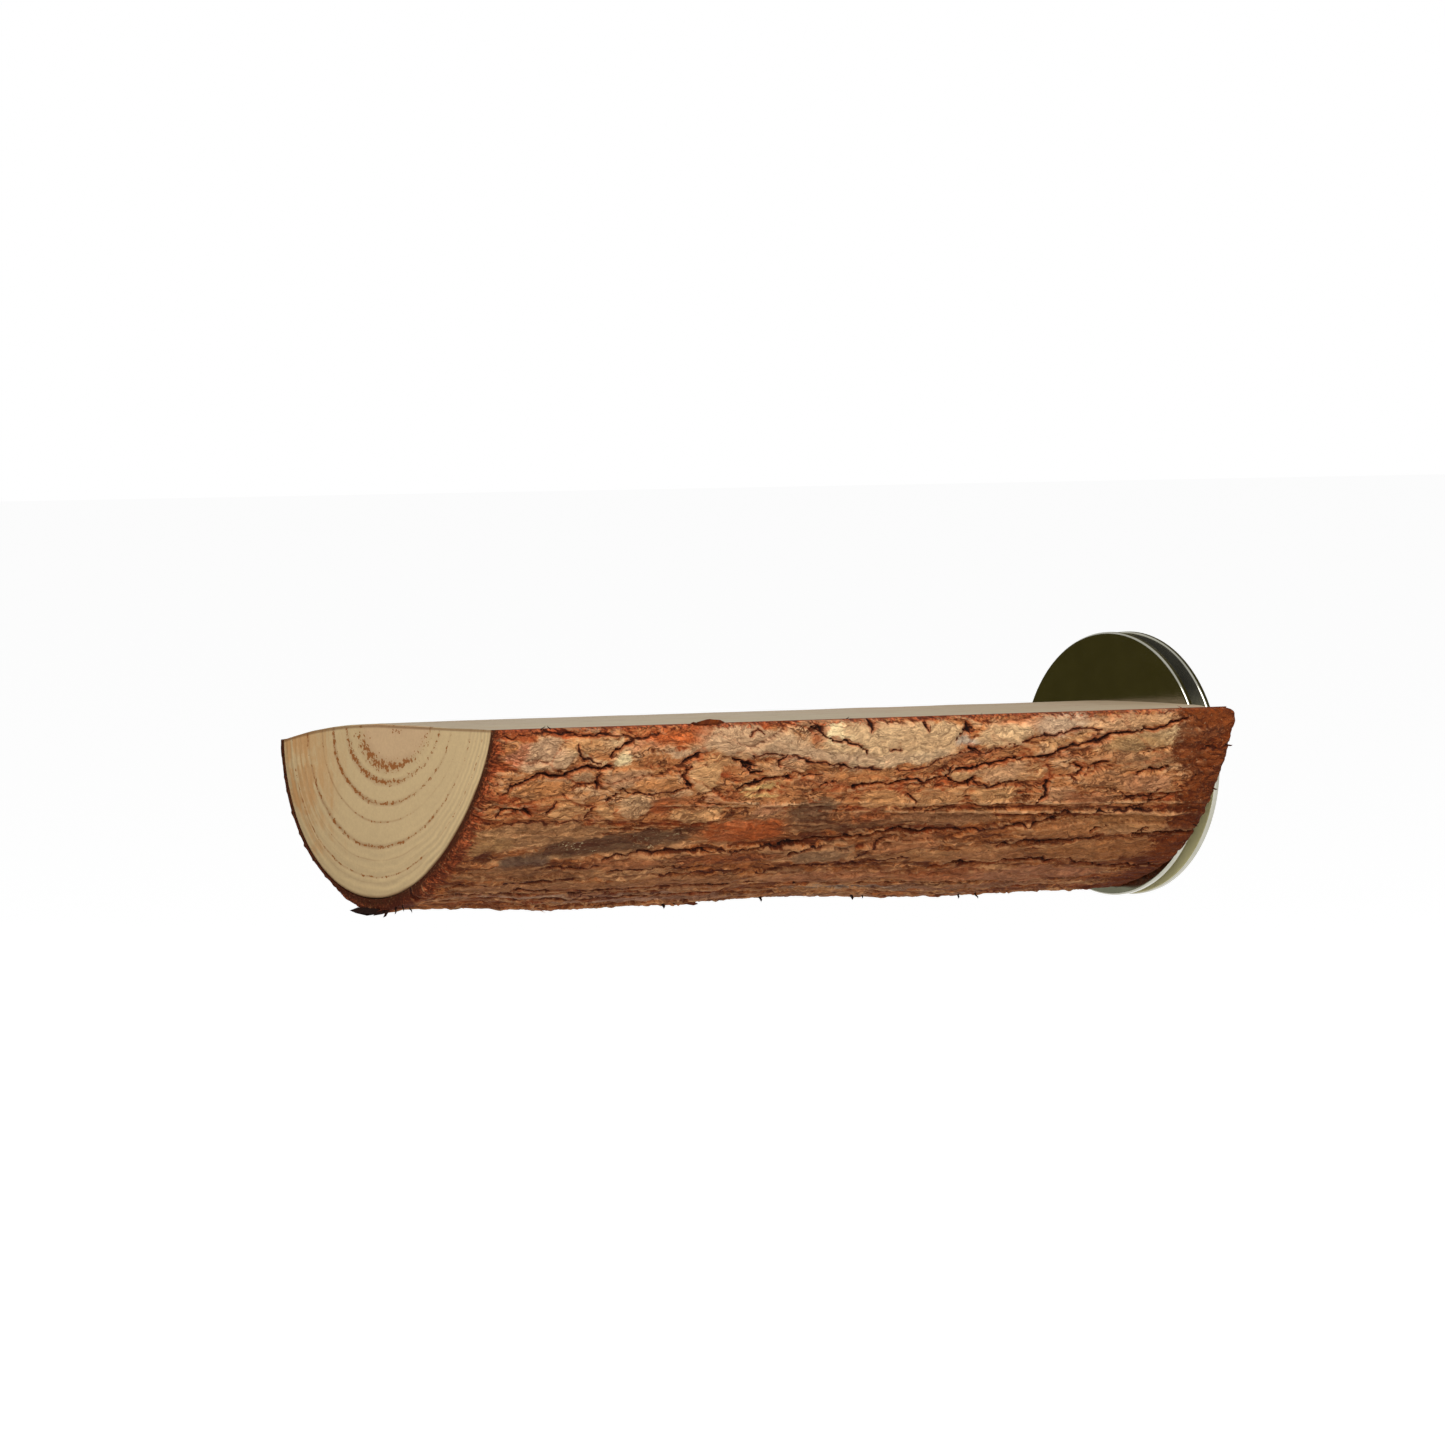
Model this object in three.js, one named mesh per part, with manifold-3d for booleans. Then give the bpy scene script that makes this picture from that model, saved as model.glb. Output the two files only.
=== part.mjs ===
// A bird perch: a half log with its bark on, which a hanger bolt, two wide washers and a wing nut clamp to the
// bars of a cage. Millimetres. +Z is up and +Y points out of the cage. The origin is on the bolt's axis, at the
// face of the inner washer that the cage bars lie against.
import * as THREE from "three";
import { mergeVertices } from "three/addons/utils/BufferGeometryUtils.js";
import Module from "manifold-3d";

const wasm = await Module();
wasm.setup();

// Clearances
const seat_gap = 0.1; // between faces that rest on each other
const wood_fit = 0.1; // between the screw's crests and the hole that they cut
const washer_fit = 0.25; // between the bolt's crests and a washer's hole
const thread_fit = 0.06; // between the bolt's crests and the bore of the nut
const bark_fit = 0.1; // between the bark and the wood
const cut_overrun = 1;
const merge_distance = 1e-4;

// The cage bars that the two washers hold between them
const bar_diameter = 2.5;

// Hanger bolt: a wood screw at one end and a machine thread at the other
const bolt_reach = 16; // from the origin to its free end
const bolt_crest_radius = 2.95;
const bolt_thread_depth = 0.55;
const bolt_pitch = 1;
const bolt_chamfer = 0.9;
const screw_depth = 24; // in the wood
const screw_crest_radius = 3;
const screw_thread_depth = 0.9;
const screw_pitch = 2.6;
const screw_point_length = 5;
const screw_point_radius = 0.5;
const neck_length = 3; // of plain shank in the mouth of the hole
const neck_lap = 0.4; // of the neck into the threads at its two ends
const hole_end_room = 1.2; // past the screw's point
const rod_sides = 14;
const crest_shares = [0.38, 0.62]; // of a pitch, where a thread's crest starts and ends

// Washers
const washer_radius = 19;
const washer_thickness = 0.8;
const washer_edge_chamfer = 0.12;
const washer_sides = 72;

// Half log: the section is measured from the pith, which lies at the crown of the sawn top
const log_length = 136;
const wood_radius_near = 23.2; // mean radius at the free end
const wood_radius_far = 24.1; // mean radius at the cage end
const top_above_bolt = 9.2;
const pith_beside_bolt = 1.2;
const right_edge_drop = 0.25; // how far the crowned top falls to its two edges
const left_edge_drop = 2.9;
const oval_share = 0.0633; // how far the section is from round, in two waves and in three
const oval_angle = THREE.MathUtils.degToRad(104.3);
const lobe_share = 0.0257;
const lobe_angle = THREE.MathUtils.degToRad(61.1);
const arc_steps = 36;
const top_steps = 12;

// Bark, and where the saw and the sander have taken its edges off
const bark_thickness = 2.1;
const bark_least_thickness = 0.45;
const side_round_width = 2;
const side_round_depth = 0.9;
const near_bevel_width = 4;
const near_bevel_depth = 1.2;
const far_round_width = 1.2;
const far_round_depth = 0.35;
const far_corner_radius = 1.9; // of the right top corner at the cage end
const far_swell = 0.9; // how far the bark swells out low on its right side, towards the cage end
const far_swell_angle = THREE.MathUtils.degToRad(-52);
const far_swell_spread = THREE.MathUtils.degToRad(24);
const far_swell_power = 4;
const under_angle = THREE.MathUtils.degToRad(-93);
const under_spread = THREE.MathUtils.degToRad(26);
const under_sharpness = 4;
const under_bevel_share = 0.25; // of the near bevel's depth, under the log
const bark_arc_steps = 84;
const bark_log_steps = 70;
const corner_steps = 6;

// What is worn off the bark's underside, as shares of its thickness, at shares of the log's length
const under_wear_shares = [
  [0, 0.36],
  [0.12, 0.36],
  [0.17, 0.06],
  [0.225, 0],
  [0.23, -0.12],
  [0.425, -0.06],
  [0.44, 0.1],
  [0.51, 0.26],
  [0.63, 0.48],
  [0.735, 0.29],
  [0.85, 0.19],
  [1, 0.14],
];

// What is worn off the bark's left side, as shares of its thickness, at shares of the way from its right edge
const left_wear_shares = [
  [0, 0],
  [0.56, 0],
  [0.68, 0.33],
  [0.8, 0.52],
  [1, 0.69],
];

// The bark's plates. Each has its middle along the log and round it from the right edge, then its half length
// and half width, as shares of the log's length and of the way round. The left side has the same ones turned
// end for end.
const plate_height = 0.45;
const plate_edge_share = 0.4; // of a plate's half width, over which it rises
const plate_power = 2.6;
const plate_shares = [
  [0.063, 0.047, 0.043, 0.033],
  [0.066, 0.118, 0.04, 0.022],
  [0.115, 0.176, 0.024, 0.019],
  [0.182, 0.105, 0.031, 0.02],
  [0.204, 0.165, 0.024, 0.029],
  [0.284, 0.105, 0.022, 0.027],
  [0.297, 0.192, 0.031, 0.019],
  [0.335, 0.034, 0.077, 0.03],
  [0.393, 0.088, 0.031, 0.016],
  [0.46, 0.069, 0.081, 0.017],
  [0.496, 0.033, 0.07, 0.032],
  [0.563, 0.046, 0.055, 0.037],
  [0.533, 0.169, 0.029, 0.02],
  [0.607, 0.169, 0.044, 0.022],
  [0.673, 0.039, 0.034, 0.027],
  [0.688, 0.166, 0.031, 0.019],
  [0.691, 0.118, 0.032, 0.02],
  [0.761, 0.022, 0.051, 0.02],
  [0.775, 0.169, 0.026, 0.02],
  [0.838, 0.024, 0.037, 0.019],
  [0.879, 0.057, 0.056, 0.017],
  [0.901, 0.098, 0.055, 0.017],
  [0.901, 0.149, 0.037, 0.022],
  [0.096, 0.234, 0.092, 0.027],
  [0.371, 0.311, 0.081, 0.017],
  [0.497, 0.311, 0.044, 0.02],
  [0.632, 0.221, 0.081, 0.017],
  [0.621, 0.321, 0.063, 0.014],
  [0.827, 0.25, 0.074, 0.023],
  [0.882, 0.32, 0.088, 0.024],
  [0.11, 0.347, 0.103, 0.02],
  [0.132, 0.396, 0.103, 0.026],
  [0.331, 0.396, 0.103, 0.029],
  [0.529, 0.387, 0.096, 0.026],
  [0.721, 0.39, 0.103, 0.02],
  [0.846, 0.402, 0.088, 0.022],
];

// The cracks that part the plates, each a line of places in the same shares
const crack_depth = 0.6;
const crack_half_width = 0.85;
const crack_shares = [
  [[0.024, 0.128], [0.051, 0.098], [0.096, 0.09], [0.158, 0.076]],
  [[0.164, 0.143], [0.206, 0.136], [0.25, 0.138], [0.265, 0.125]],
  [[0.015, 0.2], [0.066, 0.198], [0.176, 0.199]],
  [[0.338, 0.06], [0.419, 0.077], [0.493, 0.096], [0.546, 0.103]],
  [[0.546, 0.103], [0.593, 0.082], [0.662, 0.07], [0.724, 0.043]],
  [[0.334, 0.139], [0.397, 0.11], [0.44, 0.102]],
  [[0.49, 0.136], [0.557, 0.131], [0.613, 0.119], [0.651, 0.132], [0.717, 0.139]],
  [[0.625, 0.108], [0.693, 0.089], [0.76, 0.073], [0.811, 0.052]],
  [[0.811, 0.052], [0.883, 0.037], [0.935, 0.016]],
  [[0.603, 0.2], [0.657, 0.184], [0.725, 0.187]],
  [[0.147, 0.287], [0.206, 0.258], [0.294, 0.237]],
  [[0.2, 0.307], [0.265, 0.29], [0.374, 0.291], [0.44, 0.283]],
  [[0.44, 0.283], [0.483, 0.264], [0.542, 0.265], [0.585, 0.248]],
  [[0.585, 0.248], [0.627, 0.252], [0.711, 0.248], [0.791, 0.228], [0.879, 0.211], [0.934, 0.215]],
  [[0.118, 0.33], [0.199, 0.324], [0.287, 0.336]],
  [[0.294, 0.359], [0.412, 0.357], [0.48, 0.339], [0.551, 0.341], [0.621, 0.327]],
  [[0.735, 0.298], [0.813, 0.291], [0.872, 0.271]],
  [[0.915, 0.277], [0.998, 0.27]],
  [[0.662, 0.363], [0.763, 0.35], [0.851, 0.35], [0.897, 0.37], [1, 0.37]],
  [[0.029, 0.385], [0.118, 0.373], [0.184, 0.363]],
  [[0, 0.45], [0.184, 0.448]],
  [[0.496, 0.428], [0.621, 0.422], [0.735, 0.416]],
];

// Wing nut
const nut_base_wall = 3.2; // round the bore, where the nut bears on its washer
const nut_top_wall = 2;
const nut_collar_height = 1.2;
const nut_hub_height = 6;
const nut_sides = 40;
const wing_reach = 13; // from the bolt's axis to a wing's tip
const wing_height = 12; // from the face that turns on the washer
const wing_thickness = 2.2;
const wing_tip_radius = 2.7;
const wing_foot_height = 1.3;
const wing_bevel = 0.45;
const wing_curve_steps = 7;
const wing_bevel_steps = 2;
const wing_outer_angle = THREE.MathUtils.degToRad(-25); // where the tip's round edge starts and ends
const wing_inner_angle = THREE.MathUtils.degToRad(190);
const wing_rest_angle = THREE.MathUtils.degToRad(90); // of a wing, from +X towards +Z

// Where the pieces lie along the bolt
const log_back = -(washer_thickness + seat_gap);
const log_front = log_back - log_length;
const outer_washer_front = bar_diameter;
const nut_base = outer_washer_front + washer_thickness + seat_gap;

const materials = {
  wood: new THREE.MeshStandardMaterial({ color: 0xb9a079, roughness: 0.75, metalness: 0 }),
  bark: new THREE.MeshStandardMaterial({ color: 0x8b5a38, roughness: 0.9, metalness: 0 }),
  steel: new THREE.MeshStandardMaterial({ color: 0x8f8f88, roughness: 0.28, metalness: 1 }),
  zinc: new THREE.MeshStandardMaterial({ color: 0xa3a6a6, roughness: 0.35, metalness: 1 }),
};

// Turns a closed geometry into a solid that can be joined and cut.
function solidOf(geometry) {
  const plain = new THREE.BufferGeometry();
  plain.setAttribute("position", geometry.getAttribute("position"));
  plain.setIndex(geometry.index);
  const merged = mergeVertices(plain, merge_distance);
  const corners = merged.index.array;
  const kept = [];
  for (let i = 0; i < corners.length; i += 3) {
    const [a, b, c] = corners.slice(i, i + 3);
    if (a !== b && b !== c && c !== a) kept.push(a, b, c);
  }
  const vertProperties = merged.getAttribute("position").array;
  return new wasm.Manifold(new wasm.Mesh({ numProp: 3, vertProperties, triVerts: new Uint32Array(kept) }));
}

// Turns a solid back into a geometry with flat faces.
function geometryOf(solid) {
  const mesh = solid.getMesh();
  const geometry = new THREE.BufferGeometry();
  geometry.setAttribute("position", new THREE.BufferAttribute(mesh.vertProperties, 3));
  geometry.setIndex(new THREE.BufferAttribute(mesh.triVerts, 1));
  const flat = geometry.toNonIndexed();
  flat.computeVertexNormals();
  return flat;
}

function piece(name, geometry, material) {
  const mesh = new THREE.Mesh(geometry, material);
  mesh.name = name;
  return mesh;
}

// Joins rings of points into a closed body. The rings follow each other along +Y, and each runs from +X
// towards +Z.
function loft(rings) {
  const count = rings[0].length;
  const index = [];
  for (let k = 0; k + 1 < rings.length; k++) {
    for (let i = 0; i < count; i++) {
      const here = k * count + i;
      const next = k * count + ((i + 1) % count);
      index.push(here, next + count, next, here, here + count, next + count);
    }
  }
  const outline = rings[0].map((p) => new THREE.Vector2(p.x, p.z));
  const last = (rings.length - 1) * count;
  for (const [a, b, c] of THREE.ShapeUtils.triangulateShape(outline, [])) {
    index.push(a, b, c, last + c, last + b, last + a);
  }
  const geometry = new THREE.BufferGeometry().setFromPoints(rings.flat());
  geometry.setIndex(index);
  return geometry;
}

// The wood's radius from the pith at the free end, in the direction of an angle from +X towards +Z.
function woodRadius(angle) {
  const oval = oval_share * Math.cos(2 * angle - oval_angle);
  const lobes = lobe_share * Math.cos(3 * angle - lobe_angle);
  return wood_radius_near * (1 + oval + lobes);
}

// The angles of the section's two edges.
const right_edge_angle = -Math.asin(right_edge_drop / wood_radius_near);
const left_edge_angle = -Math.PI + Math.asin(left_edge_drop / wood_radius_near);
const girth = wood_radius_near * (right_edge_angle - left_edge_angle); // of the round side, at the free end

// How much larger the section is at a share of the log's length from its free end.
function growth(along_share) {
  return THREE.MathUtils.lerp(1, wood_radius_far / wood_radius_near, along_share);
}

// A point of the section, given from the pith.
function fromPith(x, y, z) {
  return new THREE.Vector3(pith_beside_bolt + x, y, top_above_bolt + z);
}

// The round side of the section, from its left edge under the log to its right edge. It lies a distance outside
// the wood that depends on the share of the way round.
function arcRing(along_share, steps, outside) {
  const y = THREE.MathUtils.lerp(log_front, log_back, along_share);
  return Array.from({ length: steps + 1 }, (_, step) => {
    const angle = THREE.MathUtils.lerp(left_edge_angle, right_edge_angle, step / steps);
    const radius = woodRadius(angle) * growth(along_share) + outside(1 - step / steps);
    return fromPith(radius * Math.cos(angle), y, radius * Math.sin(angle));
  });
}

// The crowned top of the section, from its right edge to its left one: a parabola on each side of the pith.
function topRing(along_share, right, left) {
  const y = THREE.MathUtils.lerp(log_front, log_back, along_share);
  return Array.from({ length: top_steps - 1 }, (_, step) => {
    const x = THREE.MathUtils.lerp(right.x, left.x, (step + 1) / top_steps) - pith_beside_bolt;
    const edge = x < 0 ? left : right;
    const out_share = x / (edge.x - pith_beside_bolt);
    return fromPith(x, y, (edge.z - top_above_bolt) * out_share ** 2);
  });
}

function halfLog() {
  const rings = [0, 1].map((along_share) => {
    const arc = arcRing(along_share, arc_steps, () => 0);
    return [...arc, ...topRing(along_share, arc[arc_steps], arc[0])];
  });
  const hole_radius = screw_crest_radius + wood_fit;
  const hole_length = screw_depth + hole_end_room + cut_overrun;
  const hole = new THREE.CylinderGeometry(hole_radius, hole_radius, hole_length, rod_sides);
  hole.translate(0, log_back + cut_overrun - hole_length / 2, 0);
  return geometryOf(solidOf(loft(rings)).subtract(solidOf(hole)));
}

// The value at a place, from a table of places and values with straight lines between them.
function tableValue(table, place) {
  const next = table.findIndex(([at]) => at >= place);
  if (next < 1) return table[Math.max(next, 0)][1];
  const [from, low] = table[next - 1];
  const [to, high] = table[next];
  return THREE.MathUtils.mapLinear(place, from, to, low, high);
}

// How far a place is from a line of places, all given as shares along the log and round it.
function crackDistance(route, along_share, round_share) {
  const point = new THREE.Vector3(along_share * log_length, round_share * girth, 0);
  const nearest = new THREE.Vector3();
  const line = new THREE.Line3();
  const distances = route.slice(1).map((end, k) => {
    line.start.set(route[k][0] * log_length, route[k][1] * girth, 0);
    line.end.set(end[0] * log_length, end[1] * girth, 0);
    return line.closestPointToPoint(point, true, nearest).distanceTo(point);
  });
  return Math.min(...distances);
}

// How high the bark stands over its plain thickness: raised on its plates and sunk in its cracks.
function barkRelief(along_share, round_share) {
  const turned = round_share > 0.5;
  const along = turned ? 1 - along_share : along_share;
  const round = turned ? 1 - round_share : round_share;
  const cover = plate_shares.map(([middle, beside, half_length, half_width]) => {
    const out = Math.abs((along - middle) / half_length) ** plate_power;
    const aside = Math.abs((round - beside) / half_width) ** plate_power;
    return (1 - (out + aside) ** (1 / plate_power)) / plate_edge_share;
  });
  const near = crack_shares.map((route) => 1 - crackDistance(route, along, round) / crack_half_width);
  const raised = THREE.MathUtils.clamp(Math.max(...cover), 0, 1);
  return plate_height * raised - crack_depth * Math.max(...near, 0);
}

// How much a rounded edge takes off the bark, at a distance from that edge.
function edgeCut(distance, width, depth) {
  const out_share = Math.max(1 - distance / width, 0);
  return depth * (1 - Math.sqrt(1 - out_share ** 2));
}

function barkThickness(along_share, round_share) {
  const angle = THREE.MathUtils.lerp(right_edge_angle, left_edge_angle, round_share);
  const under = Math.exp(-(((angle - under_angle) / under_spread) ** under_sharpness));
  const bevel_depth = near_bevel_depth * THREE.MathUtils.lerp(1, under_bevel_share, under);
  const cut = Math.max(
    edgeCut(girth * Math.min(round_share, 1 - round_share), side_round_width, side_round_depth),
    edgeCut(log_length * along_share, near_bevel_width, bevel_depth),
    edgeCut(log_length * (1 - along_share), far_round_width, far_round_depth),
  );
  const under_wear = tableValue(under_wear_shares, along_share) * under;
  const worn = bark_thickness * (under_wear + tableValue(left_wear_shares, round_share));
  const lean = Math.exp(-(((angle - far_swell_angle) / far_swell_spread) ** 2));
  const swell = far_swell * lean * along_share ** far_swell_power;
  const full = bark_thickness + barkRelief(along_share, round_share) - worn + swell;
  return Math.max(full - cut, bark_least_thickness);
}

// What is cut off the right top corner at the cage end to round it, across the bark from the pith outwards.
function cornerCut() {
  const y = log_back - far_corner_radius;
  const z = top_above_bolt - right_edge_drop - far_corner_radius;
  const reach = far_corner_radius + cut_overrun;
  const shape = new THREE.Shape();
  shape.absarc(y, z, far_corner_radius, Math.PI / 2, 0, true);
  shape.lineTo(y + reach, z);
  shape.lineTo(y + reach, z + reach);
  shape.lineTo(y, z + reach);
  shape.closePath();
  const depth = wood_radius_far + 2 * bark_thickness;
  const plain = { depth, curveSegments: corner_steps, bevelEnabled: false };
  const geometry = new THREE.ExtrudeGeometry(shape, plain);
  const along = new THREE.Vector3(0, 1, 0);
  const up = new THREE.Vector3(0, 0, 1);
  const outward = new THREE.Vector3(1, 0, 0);
  return geometry.applyMatrix4(new THREE.Matrix4().makeBasis(along, up, outward));
}

// The bark: the log's full section with its relief, less the wood and the room round it.
function bark() {
  const outer = Array.from({ length: bark_log_steps + 1 }, (_, k) => {
    const along_share = k / bark_log_steps;
    const outside = (round_share) => bark_fit + barkThickness(along_share, round_share);
    return arcRing(along_share, bark_arc_steps, outside);
  });
  const overrun_share = cut_overrun / log_length;
  const raise = new THREE.Vector3(0, 0, cut_overrun);
  const inner = [-overrun_share, 1 + overrun_share].map((along_share) => {
    const arc = arcRing(along_share, arc_steps, () => bark_fit);
    return [...arc, arc[arc_steps].clone().add(raise), arc[0].clone().add(raise)];
  });
  return geometryOf(solidOf(loft(outer)).subtract(solidOf(loft(inner))).subtract(solidOf(cornerCut())));
}

// A rod along +Y with a right-hand thread. Its mesh follows the helix, with three points to a pitch: one at the
// root and two at the crest. The thread runs out at both ends, and limit gives the largest radius at a height.
function threadedRod({ from, to, pitch, crest, root, limit }) {
  const places = [0, ...crest_shares];
  const turns = Math.ceil((to - from) / pitch) + 1;
  const samples = turns * places.length;
  const points = [];
  for (let side = 0; side <= rod_sides; side++) {
    const angle = (2 * Math.PI * side) / rod_sides;
    for (let k = 0; k <= samples; k++) {
      const turn = Math.floor(k / places.length) - 1 + side / rod_sides;
      const height = from + pitch * (turn + places[k % places.length]);
      const y = THREE.MathUtils.clamp(height, from, to);
      const plain = height <= from || height >= to || k % places.length === 0;
      const radius = Math.min(plain ? root : crest, limit(y));
      points.push(new THREE.Vector3(radius * Math.sin(angle), y, radius * Math.cos(angle)));
    }
  }
  const index = [];
  const row = samples + 1;
  for (let side = 0; side < rod_sides; side++) {
    for (let k = 0; k < samples; k++) {
      const here = side * row + k;
      index.push(here, here + row, here + row + 1, here, here + row + 1, here + 1);
    }
    const foot = points.length;
    index.push(foot, (side + 1) * row, side * row);
    index.push(foot + 1, side * row + samples, (side + 1) * row + samples);
  }
  points.push(new THREE.Vector3(0, from, 0), new THREE.Vector3(0, to, 0));
  const geometry = new THREE.BufferGeometry().setFromPoints(points);
  geometry.setIndex(index);
  return geometry;
}

function hangerBolt() {
  const neck_radius = bolt_crest_radius - bolt_thread_depth;
  const neck_end = log_back - neck_length;
  const screw_end = log_back - screw_depth;
  const point_slope = (screw_crest_radius - screw_point_radius) / screw_point_length;
  const machine = threadedRod({
    from: log_back,
    to: bolt_reach,
    pitch: bolt_pitch,
    crest: bolt_crest_radius,
    root: neck_radius,
    limit: (y) => bolt_crest_radius - Math.max(0, y - (bolt_reach - bolt_chamfer)),
  });
  const screw = threadedRod({
    from: screw_end,
    to: neck_end,
    pitch: screw_pitch,
    crest: screw_crest_radius,
    root: screw_crest_radius - screw_thread_depth,
    limit: (y) => screw_point_radius + point_slope * (y - screw_end),
  });
  const neck = new THREE.CylinderGeometry(neck_radius, neck_radius, neck_length + 2 * neck_lap, rod_sides);
  neck.translate(0, neck_end + neck_length / 2, 0);
  return geometryOf(solidOf(machine).add(solidOf(neck)).add(solidOf(screw)));
}

// A flat ring with its faces square to Y, and its edges broken.
function washer() {
  const hole_radius = bolt_crest_radius + washer_fit;
  const broken = washer_edge_chamfer;
  const outline = [
    [hole_radius, broken],
    [hole_radius + broken, 0],
    [washer_radius - broken, 0],
    [washer_radius, broken],
    [washer_radius, washer_thickness - broken],
    [washer_radius - broken, washer_thickness],
    [hole_radius + broken, washer_thickness],
    [hole_radius, washer_thickness - broken],
    [hole_radius, broken],
  ];
  return new THREE.LatheGeometry(outline.map(([r, y]) => new THREE.Vector2(r, y)), washer_sides);
}

// One wing, rising from the hub towards +X. It starts inside the wall of the hub.
function wing() {
  const foot = bolt_crest_radius + (thread_fit + nut_top_wall) / 2;
  const tip_x = wing_reach - wing_bevel - wing_tip_radius;
  const tip_y = wing_height - wing_bevel - wing_tip_radius;
  const shape = new THREE.Shape();
  shape.moveTo(foot, wing_foot_height);
  shape.quadraticCurveTo(
    tip_x + wing_tip_radius,
    wing_foot_height,
    tip_x + wing_tip_radius * Math.cos(wing_outer_angle),
    tip_y + wing_tip_radius * Math.sin(wing_outer_angle),
  );
  shape.absarc(tip_x, tip_y, wing_tip_radius, wing_outer_angle, wing_inner_angle, false);
  shape.quadraticCurveTo(bolt_crest_radius + nut_base_wall, nut_hub_height, foot, nut_hub_height - wing_bevel);
  shape.closePath();
  const geometry = new THREE.ExtrudeGeometry(shape, {
    depth: wing_thickness - 2 * wing_bevel,
    bevelThickness: wing_bevel,
    bevelSize: wing_bevel,
    bevelSegments: wing_bevel_steps,
    curveSegments: wing_curve_steps,
  });
  geometry.translate(0, 0, wing_bevel - wing_thickness / 2);
  return geometry;
}

function wingNut() {
  const bore = bolt_crest_radius + thread_fit;
  const hub = [
    [bore, 0],
    [bore + nut_base_wall, 0],
    [bore + nut_base_wall, nut_collar_height],
    [bore + nut_top_wall, nut_hub_height],
    [bore, nut_hub_height],
    [bore, 0],
  ].map(([r, y]) => new THREE.Vector2(r, y));
  const right_wing = wing();
  const left_wing = wing();
  left_wing.rotateY(Math.PI);
  const body = solidOf(new THREE.LatheGeometry(hub, nut_sides));
  return geometryOf(body.add(solidOf(right_wing)).add(solidOf(left_wing)));
}

const perch = new THREE.Group();
perch.add(piece("half_log", halfLog(), materials.wood));
perch.add(piece("bark", bark(), materials.bark));
perch.add(piece("hanger_bolt", hangerBolt(), materials.zinc));

const inner_washer = piece("inner_washer", washer(), materials.steel);
inner_washer.position.y = -washer_thickness;
perch.add(inner_washer);

const outer_washer = piece("outer_washer", washer(), materials.steel);
outer_washer.position.y = outer_washer_front;
perch.add(outer_washer);

const wing_nut = piece("wing_nut", wingNut(), materials.zinc);
wing_nut.position.y = nut_base;
wing_nut.rotation.y = -wing_rest_angle;
perch.add(wing_nut);

export default perch;
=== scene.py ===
"""A half-log bird perch: the log and its bark, and the bolt, washers and nut that clamp it to a cage."""

import logging
import math
from dataclasses import asdict, dataclass
from enum import Enum

import bmesh
import bpy
import numpy as np
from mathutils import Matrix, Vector


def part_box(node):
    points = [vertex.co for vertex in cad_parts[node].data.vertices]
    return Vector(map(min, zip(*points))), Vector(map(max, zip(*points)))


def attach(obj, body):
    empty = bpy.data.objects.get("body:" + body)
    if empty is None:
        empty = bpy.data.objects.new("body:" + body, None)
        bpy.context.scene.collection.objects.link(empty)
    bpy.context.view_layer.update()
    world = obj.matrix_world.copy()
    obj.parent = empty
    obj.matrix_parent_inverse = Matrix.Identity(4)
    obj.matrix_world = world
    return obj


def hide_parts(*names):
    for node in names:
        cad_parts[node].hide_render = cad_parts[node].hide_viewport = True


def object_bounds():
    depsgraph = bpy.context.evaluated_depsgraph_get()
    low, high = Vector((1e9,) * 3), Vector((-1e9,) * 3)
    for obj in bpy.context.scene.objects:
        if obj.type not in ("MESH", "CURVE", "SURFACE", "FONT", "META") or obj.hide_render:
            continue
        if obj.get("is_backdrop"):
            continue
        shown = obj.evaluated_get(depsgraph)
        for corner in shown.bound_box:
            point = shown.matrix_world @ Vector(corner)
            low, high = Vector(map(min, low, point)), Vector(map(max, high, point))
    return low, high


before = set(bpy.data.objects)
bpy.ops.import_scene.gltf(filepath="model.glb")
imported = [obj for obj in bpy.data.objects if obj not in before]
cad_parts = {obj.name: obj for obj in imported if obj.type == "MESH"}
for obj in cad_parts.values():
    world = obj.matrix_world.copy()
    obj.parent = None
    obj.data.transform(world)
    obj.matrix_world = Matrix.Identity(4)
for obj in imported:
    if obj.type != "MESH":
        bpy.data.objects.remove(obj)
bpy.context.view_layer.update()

LOG = logging.getLogger("perch")
MM = 0.001
HALF = (0.5, 0.5, 0.5)

Piece = bpy.types.Object
Material = bpy.types.Material
Tree = bpy.types.NodeTree
Array = np.ndarray
Colour = tuple[float, float, float, float]
Triple = tuple[float, float, float]
Pair = tuple[float, float]
Profile = list[Pair]


def srgb(red: int, green: int, blue: int) -> Colour:
    """Turns a colour as a screen shows it into the linear colour that Blender reads.

    Args:
        red, green, blue: 0 to 255.

    Returns:
        The linear colour, opaque.
    """
    def linear(level: int) -> float:
        """One channel's share of light."""
        share = level / 255
        return share / 12.92 if share <= 0.04045 else ((share + 0.055) / 1.055) ** 2.4
    return (linear(red), linear(green), linear(blue), 1.0)


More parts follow.
